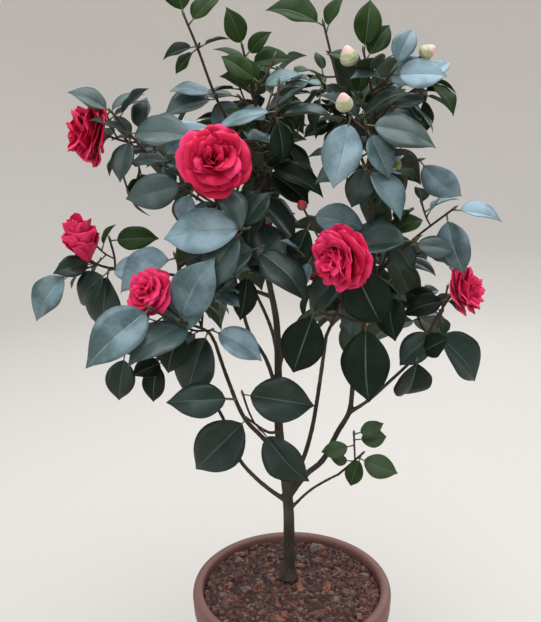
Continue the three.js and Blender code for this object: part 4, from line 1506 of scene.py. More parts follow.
@dataclass
class Piece:
    """One joined mesh in the making, of many stamped patterns, with its slot and materials."""

    name: str
    slot: str
    finishes: Sequence[Material]
    made: bmesh.types.BMesh = field(default_factory=bmesh.new, init=False)

    def stamp(self, pattern: Mesh, places: Array,
              finishes: Sequence[int] = (0,)) -> None:
        """Adds one copy of a pattern.

        Args:
            pattern: The pattern.
            places: Where its corners go, in millimetres.
            finishes: The piece's finish for each finish of the pattern.
        """
        copy = pattern.copy()
        copy.vertices.foreach_set("co", (places * MM).ravel())
        chosen = np.zeros(len(copy.polygons), np.int32)
        copy.polygons.foreach_get("material_index", chosen)
        copy.polygons.foreach_set("material_index", np.array(finishes, np.int32)[chosen])
        self.made.from_mesh(copy)
        bpy.data.meshes.remove(copy)

    def lay(self, *nodes: str) -> None:
        """Finishes the piece and hands it to the frame.

        Args:
            *nodes: The CAD nodes that it stands for.
        """
        mesh = bpy.data.meshes.new(self.name)
        self.made.to_mesh(mesh)
        self.made.free()
        dress(self.name, mesh, self.slot, self.finishes, nodes)


def dress(name: str, mesh: Mesh, slot: str, finishes: Sequence[Material],
          nodes: Sequence[str]) -> None:
    """Makes an object of a finished mesh, and lets it ride on the root.

    Args:
        name: The piece's name.
        mesh: Its mesh, in metres.
        slot: The record's material slot. It is not used.
        finishes: Its materials, in order.
        nodes: The CAD nodes that it stands for.
    """
    for finish in finishes:
        mesh.materials.append(finish)
    made = stand(name, mesh)
    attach(made, "root")
    if nodes:
        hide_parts(*nodes)
    faces = sum(len(polygon.vertices) - 2 for polygon in mesh.polygons)
    logging.info("%s: %d triangles, stands for %d nodes", name, faces, len(nodes))


def finished_mesh(made: Object, name: str) -> Mesh:
    """Gives an object's mesh with its modifiers applied, and removes the object.

    Args:
        made: The object, which is removed.
        name: The name of the mesh.

    Returns:
        The mesh.
    """
    shown = made.evaluated_get(bpy.context.evaluated_depsgraph_get())
    mesh = bpy.data.meshes.new_from_object(shown)
    mesh.name = name
    bpy.data.objects.remove(made)
    return mesh


# Sub-assemblies


@dataclass
class PlantPot:
    """The round tapered pot with its thick rolled collar."""

    name: str = "plant_pot"
    node: str = "pot"
    wall: float = 6
    floor: float = 7
    collar_height: float = 36
    mouth_radius: float = 130
    shoulder_radius: float = 133
    foot_radius: float = 98
    drain_radius: float = 8
    drain_circle: float = 55
    drains: int = 4
    underside: float = 3
    foot_ring: float = 18
    shoulder: float = 12
    steps: int = 144
    finish: PotFinish = PotFinish()

    def _profile(self) -> list[tuple[float, float, float]]:
        """Lists the pot's corners.

        Returns:
            The radius, the height and the radius of the rounding of each.
        """
        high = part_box(self.node)[1]
        rim, top = high.x / MM, high.z / MM
        collar = top - self.collar_height
        return [
            (0, self.underside, 0), (self.foot_radius - self.foot_ring + 2, self.underside, 1),
            (self.foot_radius - self.foot_ring, 0, 1), (self.foot_radius, 0, 4),
            (self.shoulder_radius - 3, collar - self.shoulder, 3),
            (self.shoulder_radius, collar, 2), (rim - 3, collar, 4), (rim - 1.6, collar + 5, 3),
            (rim, top - 8, 5), (rim - 2.5, top, 7), (self.mouth_radius, top, 6),
            (self.mouth_radius - 2, collar, 6),
            (self.foot_radius - self.wall, self.floor, 8), (0, self.floor, 0),
        ]

    @staticmethod
    def _rounded(profile: Sequence[tuple[float, float, float]], cuts: int = 4) -> list[Vector]:
        """Rounds the corners of a profile.

        Args:
            profile: Radius, height and rounding of each corner.
            cuts: How many stretches a rounding has.

        Returns:
            The places of the rounded profile, from axis to axis.
        """
        places = [Vector((radius, 0, height)) for radius, height, _ in profile]
        rounded = [places[0]]
        for before, corner, after, (_, _, size) in zip(
                places, places[1:], places[2:], profile[1:]):
            reach = min(size, (before - corner).length * 0.48, (after - corner).length * 0.48)
            enter = corner + (before - corner).normalized() * reach
            leave = corner + (after - corner).normalized() * reach
            for i in range(cuts + 1):
                share = i / cuts
                rounded.append(enter.lerp(corner, share).lerp(corner.lerp(leave, share), share))
        return [*rounded, places[-1]]

    def build(self) -> None:
        """Spins the profile and drills the drain holes."""
        profile = [place * MM for place in self._rounded(self._profile())]
        shell = stand("shell", spun(profile, self.steps, "shell"))
        drill = bmesh.new()
        for number in range(self.drains):
            angle = (number + 0.5) / self.drains * 2 * math.pi
            place = Matrix.Translation((self.drain_circle * MM * math.cos(angle),
                                        self.drain_circle * MM * math.sin(angle), 0.004))
            bmesh.ops.create_cone(drill, cap_ends=True, segments=24, matrix=place, depth=0.03,
                                  radius1=self.drain_radius * MM, radius2=self.drain_radius * MM)
        cutter = stand("drill", keep_mesh(drill, "drill", smooth=False))
        cut = shell.modifiers.new("drains", "BOOLEAN")
        cut.operation, cut.solver, cut.object = "DIFFERENCE", "EXACT", cutter
        mesh = finished_mesh(shell, self.name)
        bpy.data.objects.remove(cutter)
        dress(self.name, mesh, "pot_body", [self.finish.material()], [self.node])


@dataclass
class GrowingMix:
    """The damp mix of bark chips and grit that fills the pot."""

    node: str = "growing_mix"
    radius: float = 128.4
    trunk_foot: tuple[float, float] = (-3, 22)
    trunk_gap: float = 10.5
    seed: int = 77
    lumps: int = 4800
    large: int = 70
    large_size: tuple[float, float] = (6, 10.5)
    fine_size: float = 4.4
    rings: int = 22
    ring_width: float = 5.2
    foot_inset: float = 34

    SORTS = (
        ChipFinish("chip_dark", (0.03, 0.013, 0.012), (0.06, 0.028, 0.026)),
        ChipFinish("chip_maroon", (0.08, 0.027, 0.024), (0.14, 0.053, 0.046)),
        ChipFinish("chip_brown", (0.11, 0.05, 0.038), (0.18, 0.093, 0.072)),
        ChipFinish("chip_rust", (0.2, 0.078, 0.048), (0.32, 0.135, 0.085)),
        ChipFinish("chip_grey", (0.11, 0.085, 0.08), (0.21, 0.165, 0.145), 0.75),
    )
    SHARES = (0.2, 0.37, 0.27, 0.06, 0.1)
    LARGE_SORTS = (3, 3, 4, 2, 1)
    BED = ChipFinish("mix_fines", (0.035, 0.014, 0.012), (0.075, 0.032, 0.027))

    def _level(self, x: float, y: float) -> float:
        """Gives the height of the bed, a little rippled and level at the wall.

        Args:
            x: The place, across.
            y: The place, to the rear.

        Returns:
            The height.
        """
        ripple = math.sin(x * 0.11 + 1.3) * math.cos(y * 0.13)
        edge = 1 - max(0.0, (math.hypot(x, y) - 100) / 28)
        return MIX_TOP - 4 + 2.2 * ripple * edge + 2 * noise.noise((x * 0.08, y * 0.08, 3))

    def build(self) -> None:
        """Makes the bed and the lumps that lie in and on it."""
        self._bed()
        self._strew()

    def _bed(self) -> None:
        """Makes the fine dark bed between the lumps, as a closed thick plate."""
        low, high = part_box(self.node)
        made = bmesh.new()
        bmesh.ops.create_circle(made, cap_ends=True, segments=96, radius=self.radius * MM)
        for _ in range(self.rings):
            inner = max(made.faces, key=lambda face: len(face.verts))
            bmesh.ops.inset_region(made, faces=[inner], thickness=self.ring_width * MM)
        for vertex in made.verts:
            x, y = vertex.co.x / MM, vertex.co.y / MM
            crumb = 1.4 * noise.noise((x * 0.45, y * 0.45, 0)) + noise.noise((x, y, 9)) * 0.7
            vertex.co.z = (self._level(x, y) + crumb) * MM
        rim = [edge for edge in made.edges if edge.is_boundary]
        wall = bmesh.ops.extrude_edge_only(made, edges=rim)["geom"]
        foot = [part for part in wall if isinstance(part, bmesh.types.BMVert)]
        taper = (high.x / MM - self.foot_inset) / self.radius
        for vertex in foot:
            vertex.co = (vertex.co.x * taper, vertex.co.y * taper, low.z + 0.002)
        base = [edge for edge in made.edges if edge.is_boundary]
        bmesh.ops.contextual_create(made, geom=base)
        bmesh.ops.recalc_face_normals(made, faces=made.faces[:])
        mesh = keep_mesh(made, "mix_bed", smooth=True)
        dress("mix_bed", mesh, "growing_mix", [self.BED.material()], [self.node])

    def _strew(self) -> None:
        """Strews the lumps over the bed, large ones first and grit between them."""
        draw = SeededNumbers(self.seed)
        piece = Piece("mix_chips", "growing_mix", [sort.material() for sort in self.SORTS])
        fine = [PebblePattern(number, 1).mesh(f"grain_{number}") for number in range(8)]
        coarse = [PebblePattern(number, 2).mesh(f"lump_{number}") for number in range(6)]
        limits = np.cumsum(self.SHARES)
        for number in range(self.lumps):
            away = (self.radius - 1.5) * math.sqrt(draw())
            angle = 2 * math.pi * draw()
            size = 2.2 + 1.4 * draw() + 2.6 * draw() ** 2
            patterns = fine if size < self.fine_size else coarse
            if number < self.large:
                size, patterns = draw.between(*self.large_size), coarse
            size = min(size, (self.radius + 1 - away) * 0.9 + 1.8)
            x, y = away * math.cos(angle), away * math.sin(angle)
            sort = int(np.searchsorted(limits, draw() * limits[-1] * 0.999))
            if number < self.large:
                sort = self.LARGE_SORTS[number % len(self.LARGE_SORTS)]
            flat = draw.between(0.45, 0.8)
            spin = Matrix.Rotation(draw() * 6.28, 3, "Z") @ Matrix.Rotation(draw() * 0.9, 3, "X")
            shape = spin @ Matrix.Diagonal((size * draw.between(0.7, 1.1), size * 0.62, size * flat))
            pattern = patterns[int(draw() * 0.999 * len(patterns))]
            from_trunk = math.hypot(x - self.trunk_foot[0], y - self.trunk_foot[1])
            if from_trunk < self.trunk_gap + size * 0.6:
                continue
            level = self._level(x, y) + draw.between(-0.35, 0.3) * size
            places = corners(pattern) @ np.array(shape.transposed()) + (x, y, level)
            piece.stamp(pattern, places, (sort,))
        piece.lay()


def joint(count: float, spacing: float, reach: float) -> float:
    """Gives 1 where a count of joints along the wood is whole, and 0 well away from there."""
    return math.exp(-((math.remainder(count, 1) * spacing / reach) ** 2))


@dataclass
class WoodyLimbs:
    """The trunk and boughs as one skin of bark, with its relief."""

    growth: Growth
    name: str = "trunk_and_boughs"
    sides: int = 14
    row: float = 4
    voxel: float = 1.15
    joint_spacing: float = 31
    joint_swell: float = 0.07
    joint_reach: float = 3.2
    joint_shift: float = 0.37
    collar_swell: float = 0.45
    collar_reach: float = 9
    crack: tuple[float, float] = (0.16, 0.34)
    knob: float = 0.1
    foot_height: float = 260

    def _radius(self, limb: Limb, share: float) -> float:
        """Gives a limb's radius with its collar and the swellings where leaves once grew.

        Args:
            limb: The limb.
            share: The share of the way from its foot.

        Returns:
            The radius. The trunk has none of these swellings.
        """
        if not limb.source:
            return limb.radius(share)
        along = share * limb.line.length
        count = along / self.joint_spacing + self.joint_shift
        ring = self.joint_swell * joint(count, self.joint_spacing, self.joint_reach)
        collar = self.collar_swell * math.exp(-along / self.collar_reach)
        return limb.radius(share) * (1 + ring + collar)

    def _skin(self) -> Mesh:
        """Fuses the limbs' rods into one smooth skin.

        Returns:
            The skin.
        """
        piece = Piece("rods", "bark", [])
        for limb in self.growth.limbs.values():
            rows = max(6, round(limb.line.length / self.row))
            pattern = RodPattern(self.sides, rows).mesh("rod")
            piece.stamp(pattern, along_route(pattern, limb.line, lambda share, limb=limb:
                                             self._radius(limb, share)))
        rods = stand("rods", keep_mesh(piece.made, "rods", smooth=True))
        fuse = rods.modifiers.new("fuse", "REMESH")
        fuse.mode, fuse.voxel_size, fuse.use_smooth_shade = "VOXEL", self.voxel * MM, True
        ease = rods.modifiers.new("ease", "SMOOTH")
        ease.factor, ease.iterations = 0.5, 3
        return finished_mesh(rods, self.name)

    def _relieve(self, mesh: Mesh) -> None:
        """Pushes the skin in and out as bark is, more at the trunk's foot.

        Args:
            mesh: The skin, which is changed.
        """
        places = corners(mesh)
        normals = np.zeros(len(places) * 3)
        mesh.vertices.foreach_get("normal", normals)
        normals = normals.reshape(-1, 3)
        for index, (x, y, z) in enumerate(places / MM):
            long_crack = noise.noise((x * 0.42, y * 0.42, z * 0.07))
            knobs = noise.noise((x * 0.75, y * 0.75, z * 0.5))
            foot = max(0.0, 1 - (z - MIX_TOP) / self.foot_height)
            lift = (self.crack[0] + self.crack[1] * foot) * long_crack + self.knob * knobs
            places[index] += normals[index] * lift * MM
        mesh.vertices.foreach_set("co", places.ravel())
        mesh.update()

    def build(self) -> None:
        """Makes the skin and gives it its relief."""
        mesh = self._skin()
        self._relieve(mesh)
        for polygon in mesh.polygons:
            polygon.use_smooth = True
        dress(self.name, mesh, "bark", [BARK.material()], list(self.growth.limbs))


def along_route(pattern: Mesh, line: Route, radius: Callable[[float], float],
                ) -> Array:
    """Bends a rod pattern along a route.

    Args:
        pattern: The rod, along Z from 0 to 1.
        line: The route.
        radius: Its radius by the share of the way.

    Returns:
        Where the rod's corners go, in millimetres.
    """
    found = corners(pattern)
    rows = int(round(1 / np.min(np.diff(np.unique(np.round(found[:, 2], 4))))))
    shares, places, sides, overs = line.frames(rows + 1)
    row = np.round(found[:, 2] * rows).astype(int)
    radii = np.array([radius(share) for share in shares])[row][:, None]
    return places[row] + radii * (found[:, :1] * sides[row] + found[:, 1:2] * overs[row])


@dataclass
class Twigs:
    """The young wood inside the foliage, with a resting bud on each free tip."""

    growth: Growth
    name: str = "twigs"
    sides: int = 8
    row: float = 5
    joint_swell: float = 0.14
    bud_length: float = 9
    bud_radius: float = 1.9

    def _stamp(self, piece: Piece, shoot: Shoot, patterns: dict[int, Mesh]) -> None:
        """Adds one shoot, a little swollen at its joints.

        Args:
            piece: The piece that it joins.
            shoot: The shoot.
            patterns: The rods made so far, by their rows.
        """
        rows = max(4, round(shoot.line.length / self.row))
        if rows not in patterns:
            patterns[rows] = RodPattern(self.sides, rows).mesh(f"twig_{rows}")

        def radius(share: float) -> float:
            """Gives the radius with its joints."""
            count = (1 - share) * shoot.line.length / LEAF_SPACING
            return shoot.radius(share) * (1 + self.joint_swell * joint(count, LEAF_SPACING, 2))

        piece.stamp(patterns[rows], along_route(patterns[rows], shoot.line, radius))

    def _resting_bud(self, piece: Piece, shoot: Shoot, pattern: Mesh) -> None:
        """Sets a small pointed leaf bud on a shoot's tip.

        Args:
            piece: The piece that it joins.
            shoot: The shoot.
            pattern: A rod.
        """
        found = corners(pattern)
        axis = shoot.line.heading(1)
        side = cross_axis(axis)
        swell = self.bud_radius * np.sin(np.pi * np.clip(found[:, 2], 0.0, 1) ** 0.6) ** 0.8
        swell = np.maximum(swell, 0.15)[:, None]
        places = shoot.line.place(1) + np.outer(found[:, 2] * self.bud_length - 1, axis)
        places += swell * (found[:, :1] * side + found[:, 1:2] * np.cross(axis, side))
        piece.stamp(pattern, places, (1,))

    def build(self) -> None:
        """Makes all the young wood."""
        piece = Piece(self.name, "bark", [TWIG_BARK.material(), STALK.material()])
        patterns: dict[int, Mesh] = {}
        bud = RodPattern(8, 8).mesh("resting_bud")
        topped = {head.owner for head in self.growth.heads}
        for shoot in self.growth.shoots + self.growth.twiglets:
            self._stamp(piece, shoot, patterns)
            if shoot.owner not in topped:
                self._resting_bud(piece, shoot, bud)
        piece.lay(*(mass.name for mass in MASSES))


@dataclass
class Foliage:
    """The leaves, each a curved blade with a midrib, dealt to three pieces by their height."""

    growth: Growth
    rows: int = 14
    columns: int = 8
    rib: float = 0.034
    skin: float = 0.5
    stalk_radius: float = 1.0
    split: tuple[float, float] = (690, 810)

    SPRAYS = {f"{mass.name}:{i}": tints for mass in MASSES
              for i, tints in enumerate(mass.tints.split())}
    SHEEN_TINTS = (Tint.PALE, Tint.BLUE)

    @staticmethod
    def _outline(share: float) -> float:
        """Gives half a leaf's width, as a share of the greatest, with its short pointed tip."""
        drawn = 1 - 0.4 * min(max((share - 0.82) / 0.15, 0), 1) ** 1.3
        return float(Leaf.outline(np.array(share))) * drawn

    def _tint(self, leaf: Leaf) -> Tint:
        """Deals a leaf's tint by its spray, lead leaf first; most tints are painted sheen and shade.
        """
        spray = self.SPRAYS[":".join(leaf.owner.split(":")[:2])]
        return Tint(spray[min(leaf.number, len(spray) - 1)])

    def _blade(self, leaf: Leaf, found: Array, draw: SeededNumbers) -> Array:
        """Bends the flat blade to one leaf's own shape.

        Args:
            leaf: The leaf.
            found: The pattern's corners.
            draw: The source of numbers.

        Returns:
            Where the corners go.
        """
        phase, wave, hook, twist = draw(), draw(), draw(), draw.between(-26, 26)
        fold = draw.between(0, 0.42)
        share = found[:, 1]
        side = found[:, 0] * leaf.half_width
        away = np.abs(found[:, 0])
        ripple = (0.01 + 0.028 * wave) * leaf.length * np.sin(
            2 * np.pi * (1.6 * share + phase)) * away**2 * np.sign(found[:, 0])
        cup = (fold - 0.24 * away) * np.abs(side)
        tip = -(0.04 + 0.16 * hook) * leaf.length * np.clip((share - 0.5) / 0.5, 0, 1) ** 2
        furrow = -0.35 * np.exp(-((away / 0.05) ** 2))
        lift = ripple + cup + tip + furrow + (found[:, 2] - 1) * self.skin
        turn = np.radians(twist) * (share - 0.2)
        places = leaf.place(PETIOLE + leaf.length * share, side)
        return places + np.outer(side * np.sin(turn) + lift, leaf.up)

    def _stalk(self, leaf: Leaf, found: Array) -> Array:
        """Bends a rod to a leaf's stalk, which runs a little way under the midrib.

        Args:
            leaf: The leaf.
            found: The rod's corners.

        Returns:
            Where the corners go.
        """
        out = found[:, 2] * (PETIOLE + 0.05 * leaf.length)
        radius = self.stalk_radius * (1.25 - 0.5 * found[:, 2])
        axis = leaf.root + np.outer(out, leaf.along)
        sink = -LEAF_ARCH * out * out / leaf.reach - 0.3
        return (axis + np.outer(sink + radius * found[:, 1], leaf.up)
                + np.outer(radius * found[:, 0], leaf.across))

    def build(self) -> None:
        """Makes the leaves."""
        tones = list(Tint)
        finishes = [LEAF_FINISHES[tint].material() for tint in tones]
        finishes += [plain.material() for plain in (UNDERSIDE, STALK, RIB, SHEEN_RIB)]
        blade = BladePattern(self.rows, self.columns, self.rib, self._outline).mesh("blade")
        stalk = RodPattern(6, 3).mesh("stalk")
        found, rod = corners(blade), corners(stalk)
        names = ("leaves_low", "leaves_middle", "leaves_high")
        pieces = [Piece(name, "foliage", finishes) for name in names]
        draw = SeededNumbers(52)
        for leaf in self.growth.leaves:
            piece = pieces[int(np.searchsorted(self.split, leaf.root[2]))]
            tint = self._tint(leaf)
            # Leaves painted with sky sheen take the midrib painted paler to match.
            rib = len(tones) + (3 if tint in self.SHEEN_TINTS else 2)
            tints = (tones.index(tint), len(tones), rib)
            piece.stamp(blade, self._blade(leaf, found, draw), tints)
            piece.stamp(stalk, self._stalk(leaf, rod), (len(tones) + 1,))
        for piece in pieces:
            piece.lay()


@dataclass(frozen=True)
class PetalRing:
    """One ring of petals.

    Its tips stand out by 'spread' of the head's radius and up by 'lift' of its depth. The
    petals bend towards a place that is 'bow' of the way out and 'rise' of the way up.
    """

    count: int
    spread: float
    lift: float
    bow: float
    rise: float
    width: float
    cup: float
    ruffle: float


def petal_outline(share: float) -> float:
    """Gives half a petal's width as a share of the greatest, from its narrow foot to its tip."""
    foot = 0.16 + 0.84 * math.sin(math.pi / 2 * share / 0.6)
    return foot if share < 0.6 else max(1 - ((share - 0.6) / 0.4) ** 2.6, 0.0004) ** 0.5


@dataclass
class Blossoms:
    """The double blossoms: rings of broad petals round a crowded, ruffled heart."""

    growth: Growth
    rows: int = 12
    columns: int = 12
    skin: float = 0.35
    notch: float = 0.07
    notch_width: float = 0.3
    hub: float = 0.42
    open_depth: float = 0.62
    rosy_share: float = 0.82
    crimson_share: float = 0.22
    seed: int = 311

    RINGS = (
        PetalRing(7, 1.0, 0.22, 0.68, 1.5, 0.62, 0.0, 0.13),
        PetalRing(7, 0.93, 0.46, 0.68, 1.32, 0.6, 0.03, 0.18),
        PetalRing(7, 0.8, 0.66, 0.62, 1.22, 0.54, 0.05, 0.26),
        PetalRing(7, 0.62, 0.76, 0.52, 1.17, 0.46, 0.06, 0.38),
        PetalRing(6, 0.43, 0.82, 0.42, 1.14, 0.38, 0.08, 0.5),
        PetalRing(5, 0.24, 0.86, 0.4, 1.08, 0.3, 0.12, 0.65),
        PetalRing(3, 0.08, 0.84, 1.5, 0.9, 0.22, 0.3, 0.6),
    )
    SEPALS = PetalRing(5, 0.34, 0.24, 1.1, 0.2, 0.22, 0.4, 0.02)
    PETALS = (
        PetalFinish("petal_crimson", (0.36, 0.003, 0.026), (0.84, 0.02, 0.1)),
        PetalFinish("petal_rose", (0.62, 0.01, 0.07), (1.0, 0.062, 0.225)),
    )
    SEPAL = PlainFinish("sepal", (0.06, 0.09, 0.03), (0.14, 0.16, 0.06))
    ROSY = ("middle_right_foliage", "far_right_foliage", "far_left_foliage", "left_foliage")

    def _midline(self, head: Head, ring: PetalRing, draw: SeededNumbers,
                 ) -> tuple[Array, Array]:
        """Lays a petal's midline, drawn up and in where the head is half open.

        Args:
            head: The head.
            ring: The ring that the petal belongs to.
            draw: The source of numbers.

        Returns:
            Its tip and the place that it bends towards, each as millimetres out and up.
        """
        tall = draw.between(0.9, 1.03)
        shut = min(max(head.depth / head.width - self.open_depth, 0) / 0.45, 1) * 0.6
        spread = ring.spread * (1 - 0.28 * shut)
        lift = ring.lift * (1 + 0.4 * shut) + (0.96 - ring.lift) * 0.8 * shut
        lift *= draw.between(0.84, 1.1)
        bow = ring.bow + (1.3 - ring.bow) * shut
        rise = ring.rise + (0.4 - ring.rise) * shut
        tip = np.array((spread * head.width / 2 * tall, lift * head.depth * tall))
        return tip, tip * (bow, rise)

    def _petal(self, head: Head, ring: PetalRing, angle: float, found: Array,
               draw: SeededNumbers) -> Array:
        """Bends one petal out from the foot of the head.

        Args:
            head: The head.
            ring: The ring that the petal belongs to.
            angle: The petal's place round the head, in radians.
            found: The pattern's corners.
            draw: The source of numbers.

        Returns:
            Where the corners go.
        """
        across = cross_axis(head.face)
        over = np.cross(head.face, across)
        outward = across * math.cos(angle) + over * math.sin(angle)
        level = np.cross(head.face, outward)
        phase, fold, lean = draw() * 6.28, draw.between(-1, 1), draw.between(-0.2, 0.2)
        tip, bend = self._midline(head, ring, draw)
        radius, share = head.width / 2, np.clip(found[:, 1], 0, 1)
        dip = self.notch * np.exp(-((found[:, 0] / self.notch_width) ** 2))
        share = share * (1 - dip * share**4)
        way = np.outer(2 * share * (1 - share), bend) + np.outer(share**2, tip)
        slope = np.outer(2 - 4 * share, bend) + np.outer(2 * share, tip)
        slope /= np.linalg.norm(slope, axis=1)[:, None]
        size = ring.width * radius
        side = found[:, 0] * size
        wave = ring.ruffle * size * np.sin(found[:, 0] * 3.0 + phase) * share**1.3
        wave += 0.4 * ring.ruffle * size * np.sin(found[:, 0] * 6.2 + 2 * phase) * share**2.5
        wave += 0.12 * ring.ruffle * size * np.sin(share * 9 + phase) * share
        wave += 0.1 * size * fold * found[:, 0] * share
        cup = ring.cup * size * found[:, 0] ** 2 * share * (1.3 - share**2)
        inward = cup + wave + (found[:, 2] - 1) * self.skin
        radial = way[:, 0] - slope[:, 1] * inward + 1.2
        axial = way[:, 1] + slope[:, 0] * inward
        hub = np.maximum(radial, self.hub * radius)
        wrapped = radial - hub * (1 - np.cos(side / hub))
        return (head.base + np.outer(wrapped, outward) + np.outer(axial, head.face)
                + np.outer(hub * np.sin(side / hub) + lean * way[:, 0], level))

    def build(self) -> None:
        """Makes the blossoms, with their sepals."""
        finishes = [petal.material() for petal in self.PETALS] + [self.SEPAL.material()]
        pieces = [Piece(name, "foliage", finishes) for name in ("blossom_front", "blossom_rear")]
        petal = BladePattern(self.rows, self.columns, 0, petal_outline).mesh("petal")
        found = corners(petal)
        draw = SeededNumbers(self.seed)
        for head in (head for head in self.growth.heads if head.blossom):
            turn = draw() * 6.28
            piece = pieces[int(head.face[1] > 0)]
            mass = head.owner.split(":")[0]
            rosy = self.rosy_share if mass in self.ROSY else self.crimson_share
            for number, ring in enumerate((*self.RINGS, self.SEPALS)):
                green = ring is self.SEPALS
                for place in range(ring.count):
                    angle = turn + (place + 0.5 * (number % 2)) / ring.count * 2 * math.pi
                    angle += draw.between(-0.16, 0.16) * (1 + number * 0.4)
                    tone = 2 if green else int(draw() < rosy)
                    piece.stamp(petal, self._petal(head, ring, angle, found, draw), (tone, tone))
        for piece in pieces:
            piece.lay()


class BudStage(Enum):
    """How far a flower bud has come."""

    GREEN = 0
    PALE = 1
    RED = 2


@dataclass
class Buds:
    """The closed flower buds, of overlapping scales round a pointed heart."""

    growth: Growth
    small: float = 13
    middle: float = 16
    scale_width: float = 0.95

    SCALES = (
        PlainFinish("scale_green", (0.09, 0.14, 0.035), (0.2, 0.25, 0.07), 0.42),
        PlainFinish("scale_pale", (0.38, 0.4, 0.22), (0.6, 0.58, 0.4), 0.42),
        PlainFinish("scale_red", (0.16, 0.03, 0.03), (0.3, 0.05, 0.06), 0.42),
    )
    HEARTS = (
        PetalFinish("heart_green", (0.2, 0.28, 0.07), (0.36, 0.42, 0.14)),
        PetalFinish("heart_pale", (0.78, 0.5, 0.45), (0.86, 0.74, 0.66)),
        PetalFinish("heart_red", (0.4, 0.02, 0.05), (0.6, 0.06, 0.1)),
    )
    ROUNDS = ((5, 0.0, 0.36, 1.12), (5, 0.5, 0.54, 1.08), (5, 0.0, 0.72, 1.04))

    def _stage(self, head: Head) -> BudStage:
        """Tells a bud's stage by its size."""
        larger = BudStage.RED if head.depth < self.middle else BudStage.PALE
        return BudStage.GREEN if head.depth < self.small else larger

    @staticmethod
    def _swell(share: Array) -> Array:
        """Gives a bud's radius, as a share of the greatest, from foot to point."""
        return np.maximum(np.sin(np.pi * np.clip(share, 0, 1) ** 0.72), 0) ** 0.62

    def _wrap(self, head: Head, turn: Array, share: Array, grow: Array,
              ) -> Array:
        """Gives places on a bud's skin.

        Args:
            head: The bud.
            turn: The angles round it.
            share: The shares of the way to its point.
            grow: How much wider than the heart they are.

        Returns:
            The places.
        """
        across = cross_axis(head.face)
        over = np.cross(head.face, across)
        radius = np.maximum(self._swell(share) * head.width / 2 * grow, 0.12)
        return (head.base + np.outer(share * head.depth * 1.02 - 1, head.face)
                + np.outer(radius * np.cos(turn), across) + np.outer(radius * np.sin(turn), over))

    def build(self) -> None:
        """Makes every flower bud."""
        finishes = [scale.material() for scale in self.SCALES]
        finishes += [heart.material() for heart in self.HEARTS]
        piece = Piece("flower_buds", "foliage", finishes)
        heart = RodPattern(20, 14).mesh("heart")
        scale = BladePattern(8, 8, 0, petal_outline).mesh("scale")
        core, flap = corners(heart), corners(scale)
        for head in (head for head in self.growth.heads if not head.blossom):
            stage = self._stage(head).value
            turn = np.arctan2(core[:, 1], core[:, 0])
            piece.stamp(heart, self._wrap(head, turn, core[:, 2], np.hypot(*core[:, :2].T)),
                        (3 + stage,))
            for count, shift, reach, grow in self.ROUNDS:
                for place in range(count):
                    middle = (place + shift) / count * 2 * math.pi
                    turns = middle + flap[:, 0] * self.scale_width
                    skin = grow + 0.03 * flap[:, 2]
                    piece.stamp(scale, self._wrap(head, turns, flap[:, 1] * reach, skin),
                                (stage, stage))
        piece.lay()


@dataclass(frozen=True)
class Lamp:
    """A soft square lamp, with its place and its side in metres and its power in watts."""

    name: str
    place: tuple[float, float, float]
    side: float
    power: float
    colour: Colour

    def hang(self, aim: Numbers) -> None:
        """Hangs the lamp.

        Args:
            aim: The place that it looks at.
        """
        light = bpy.data.lights.new(self.name, "AREA")
        light.size, light.energy, light.color = self.side, self.power, self.colour
        made = stand(self.name, light)
        made.location = self.place
        look = Vector(aim) - Vector(self.place)
        made.rotation_euler = look.to_track_quat("-Z", "Y").to_euler()


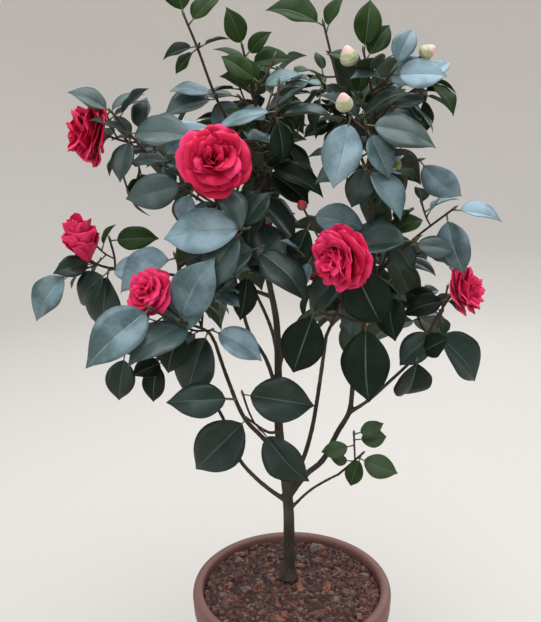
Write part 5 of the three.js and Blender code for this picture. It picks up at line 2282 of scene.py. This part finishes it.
@dataclass
class Studio:
    """The pale floor that sweeps up all round, soft light, and the photograph's camera angle."""

    place: tuple[float, float, float] = (-20.2, -930.0, 843.5)
    pitch: float = 12.44
    yaw: float = -0.33
    roll: float = 0.78
    focal_pixels: float = 706
    frame_height: int = 622
    sensor: float = 36
    floor_radius: float = 3.0
    backdrop_radius: float = 4.6
    backdrop_height: float = 3.8
    sweep_steps: int = 12
    aim: tuple[float, float, float] = (0, 0, 0.65)
    sky: Colour = (0.93, 0.96, 1.0)
    sky_strength: float = 0.8

    LAMPS = (
        Lamp("sky_light", (0.2, -0.3, 3.4), 3.4, 112, (0.93, 0.97, 1.0)),
        Lamp("front_light", (-1.5, -2.9, 1.9), 2.4, 22, (1.0, 0.97, 0.94)),
        Lamp("rear_light", (1.2, 2.6, 2.2), 2.4, 26, (0.96, 0.98, 1.0)),
    )

    def _camera(self) -> None:
        """Sets the camera where the photograph was taken from."""
        lens = bpy.data.cameras.new("camera")
        lens.sensor_width = self.sensor
        lens.lens = self.focal_pixels / self.frame_height * self.sensor
        lens.clip_start, lens.clip_end = 0.01, 60
        made = stand("camera", lens)
        look = (Matrix.Rotation(-math.radians(self.roll), 3, "Y")
                @ Matrix.Rotation(math.radians(self.pitch), 3, "X")
                @ Matrix.Rotation(math.radians(self.yaw), 3, "Z"))
        facing = look.transposed() @ Matrix.Rotation(math.pi / 2, 3, "X")
        made.matrix_world = Matrix.Translation(Vector(self.place) * MM) @ facing.to_4x4()
        bpy.context.scene.camera = made

    def _floor(self) -> None:
        """Lays the floor, which sweeps up to a round backdrop."""
        sweep = self.backdrop_radius - self.floor_radius
        profile = [(0, 0, 0), (self.floor_radius / 2, 0, 0)]
        for step in range(self.sweep_steps + 1):
            angle = math.pi / 2 * step / self.sweep_steps
            profile.append((self.floor_radius + sweep * math.sin(angle), 0,
                            sweep * (1 - math.cos(angle))))
        profile.append((self.backdrop_radius, 0, self.backdrop_height))
        mesh = spun(profile, 64, "floor")
        middle = min(mesh.polygons, key=lambda polygon: polygon.center.length)
        if middle.normal.z < 0:
            mesh.flip_normals()
        mesh.materials.append(FloorFinish().material())
        floor = stand("floor", mesh)
        floor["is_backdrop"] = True

    def build(self) -> None:
        """Sets up the whole studio."""
        self._floor()
        self._camera()
        for lamp in self.LAMPS:
            lamp.hang(self.aim)
        world = bpy.data.worlds.new("studio")
        world.use_nodes = True
        sky = world.node_tree.nodes["Background"]
        sky.inputs["Color"].default_value = (*self.sky, 1)
        sky.inputs["Strength"].default_value = self.sky_strength
        bpy.context.scene.world = world
        bpy.context.scene.view_settings.view_transform = "Standard"


def measure() -> None:
    """Works out the CAD box and the visual model's box as plain lists, and keeps them nowhere."""
    boxes = {"cad": CAD_BOX, "visual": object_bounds()}
    lists = {name: [list(corner) for corner in box] for name, box in boxes.items()}


def main() -> None:
    """Builds the studio and every piece of the shrub in order."""
    logging.basicConfig(level=logging.INFO, format="%(message)s")
    Studio().build()
    growth = Growth()
    logging.info("grown: %d shoots, %d side twigs, %d leaves, %d heads", len(growth.shoots),
                 len(growth.twiglets), len(growth.leaves), len(growth.heads))
    PlantPot().build()
    GrowingMix().build()
    WoodyLimbs(growth).build()
    Twigs(growth).build()
    Foliage(growth).build()
    Blossoms(growth).build()
    Buds(growth).build()
    measure()


if __name__ == "__main__":
    main()
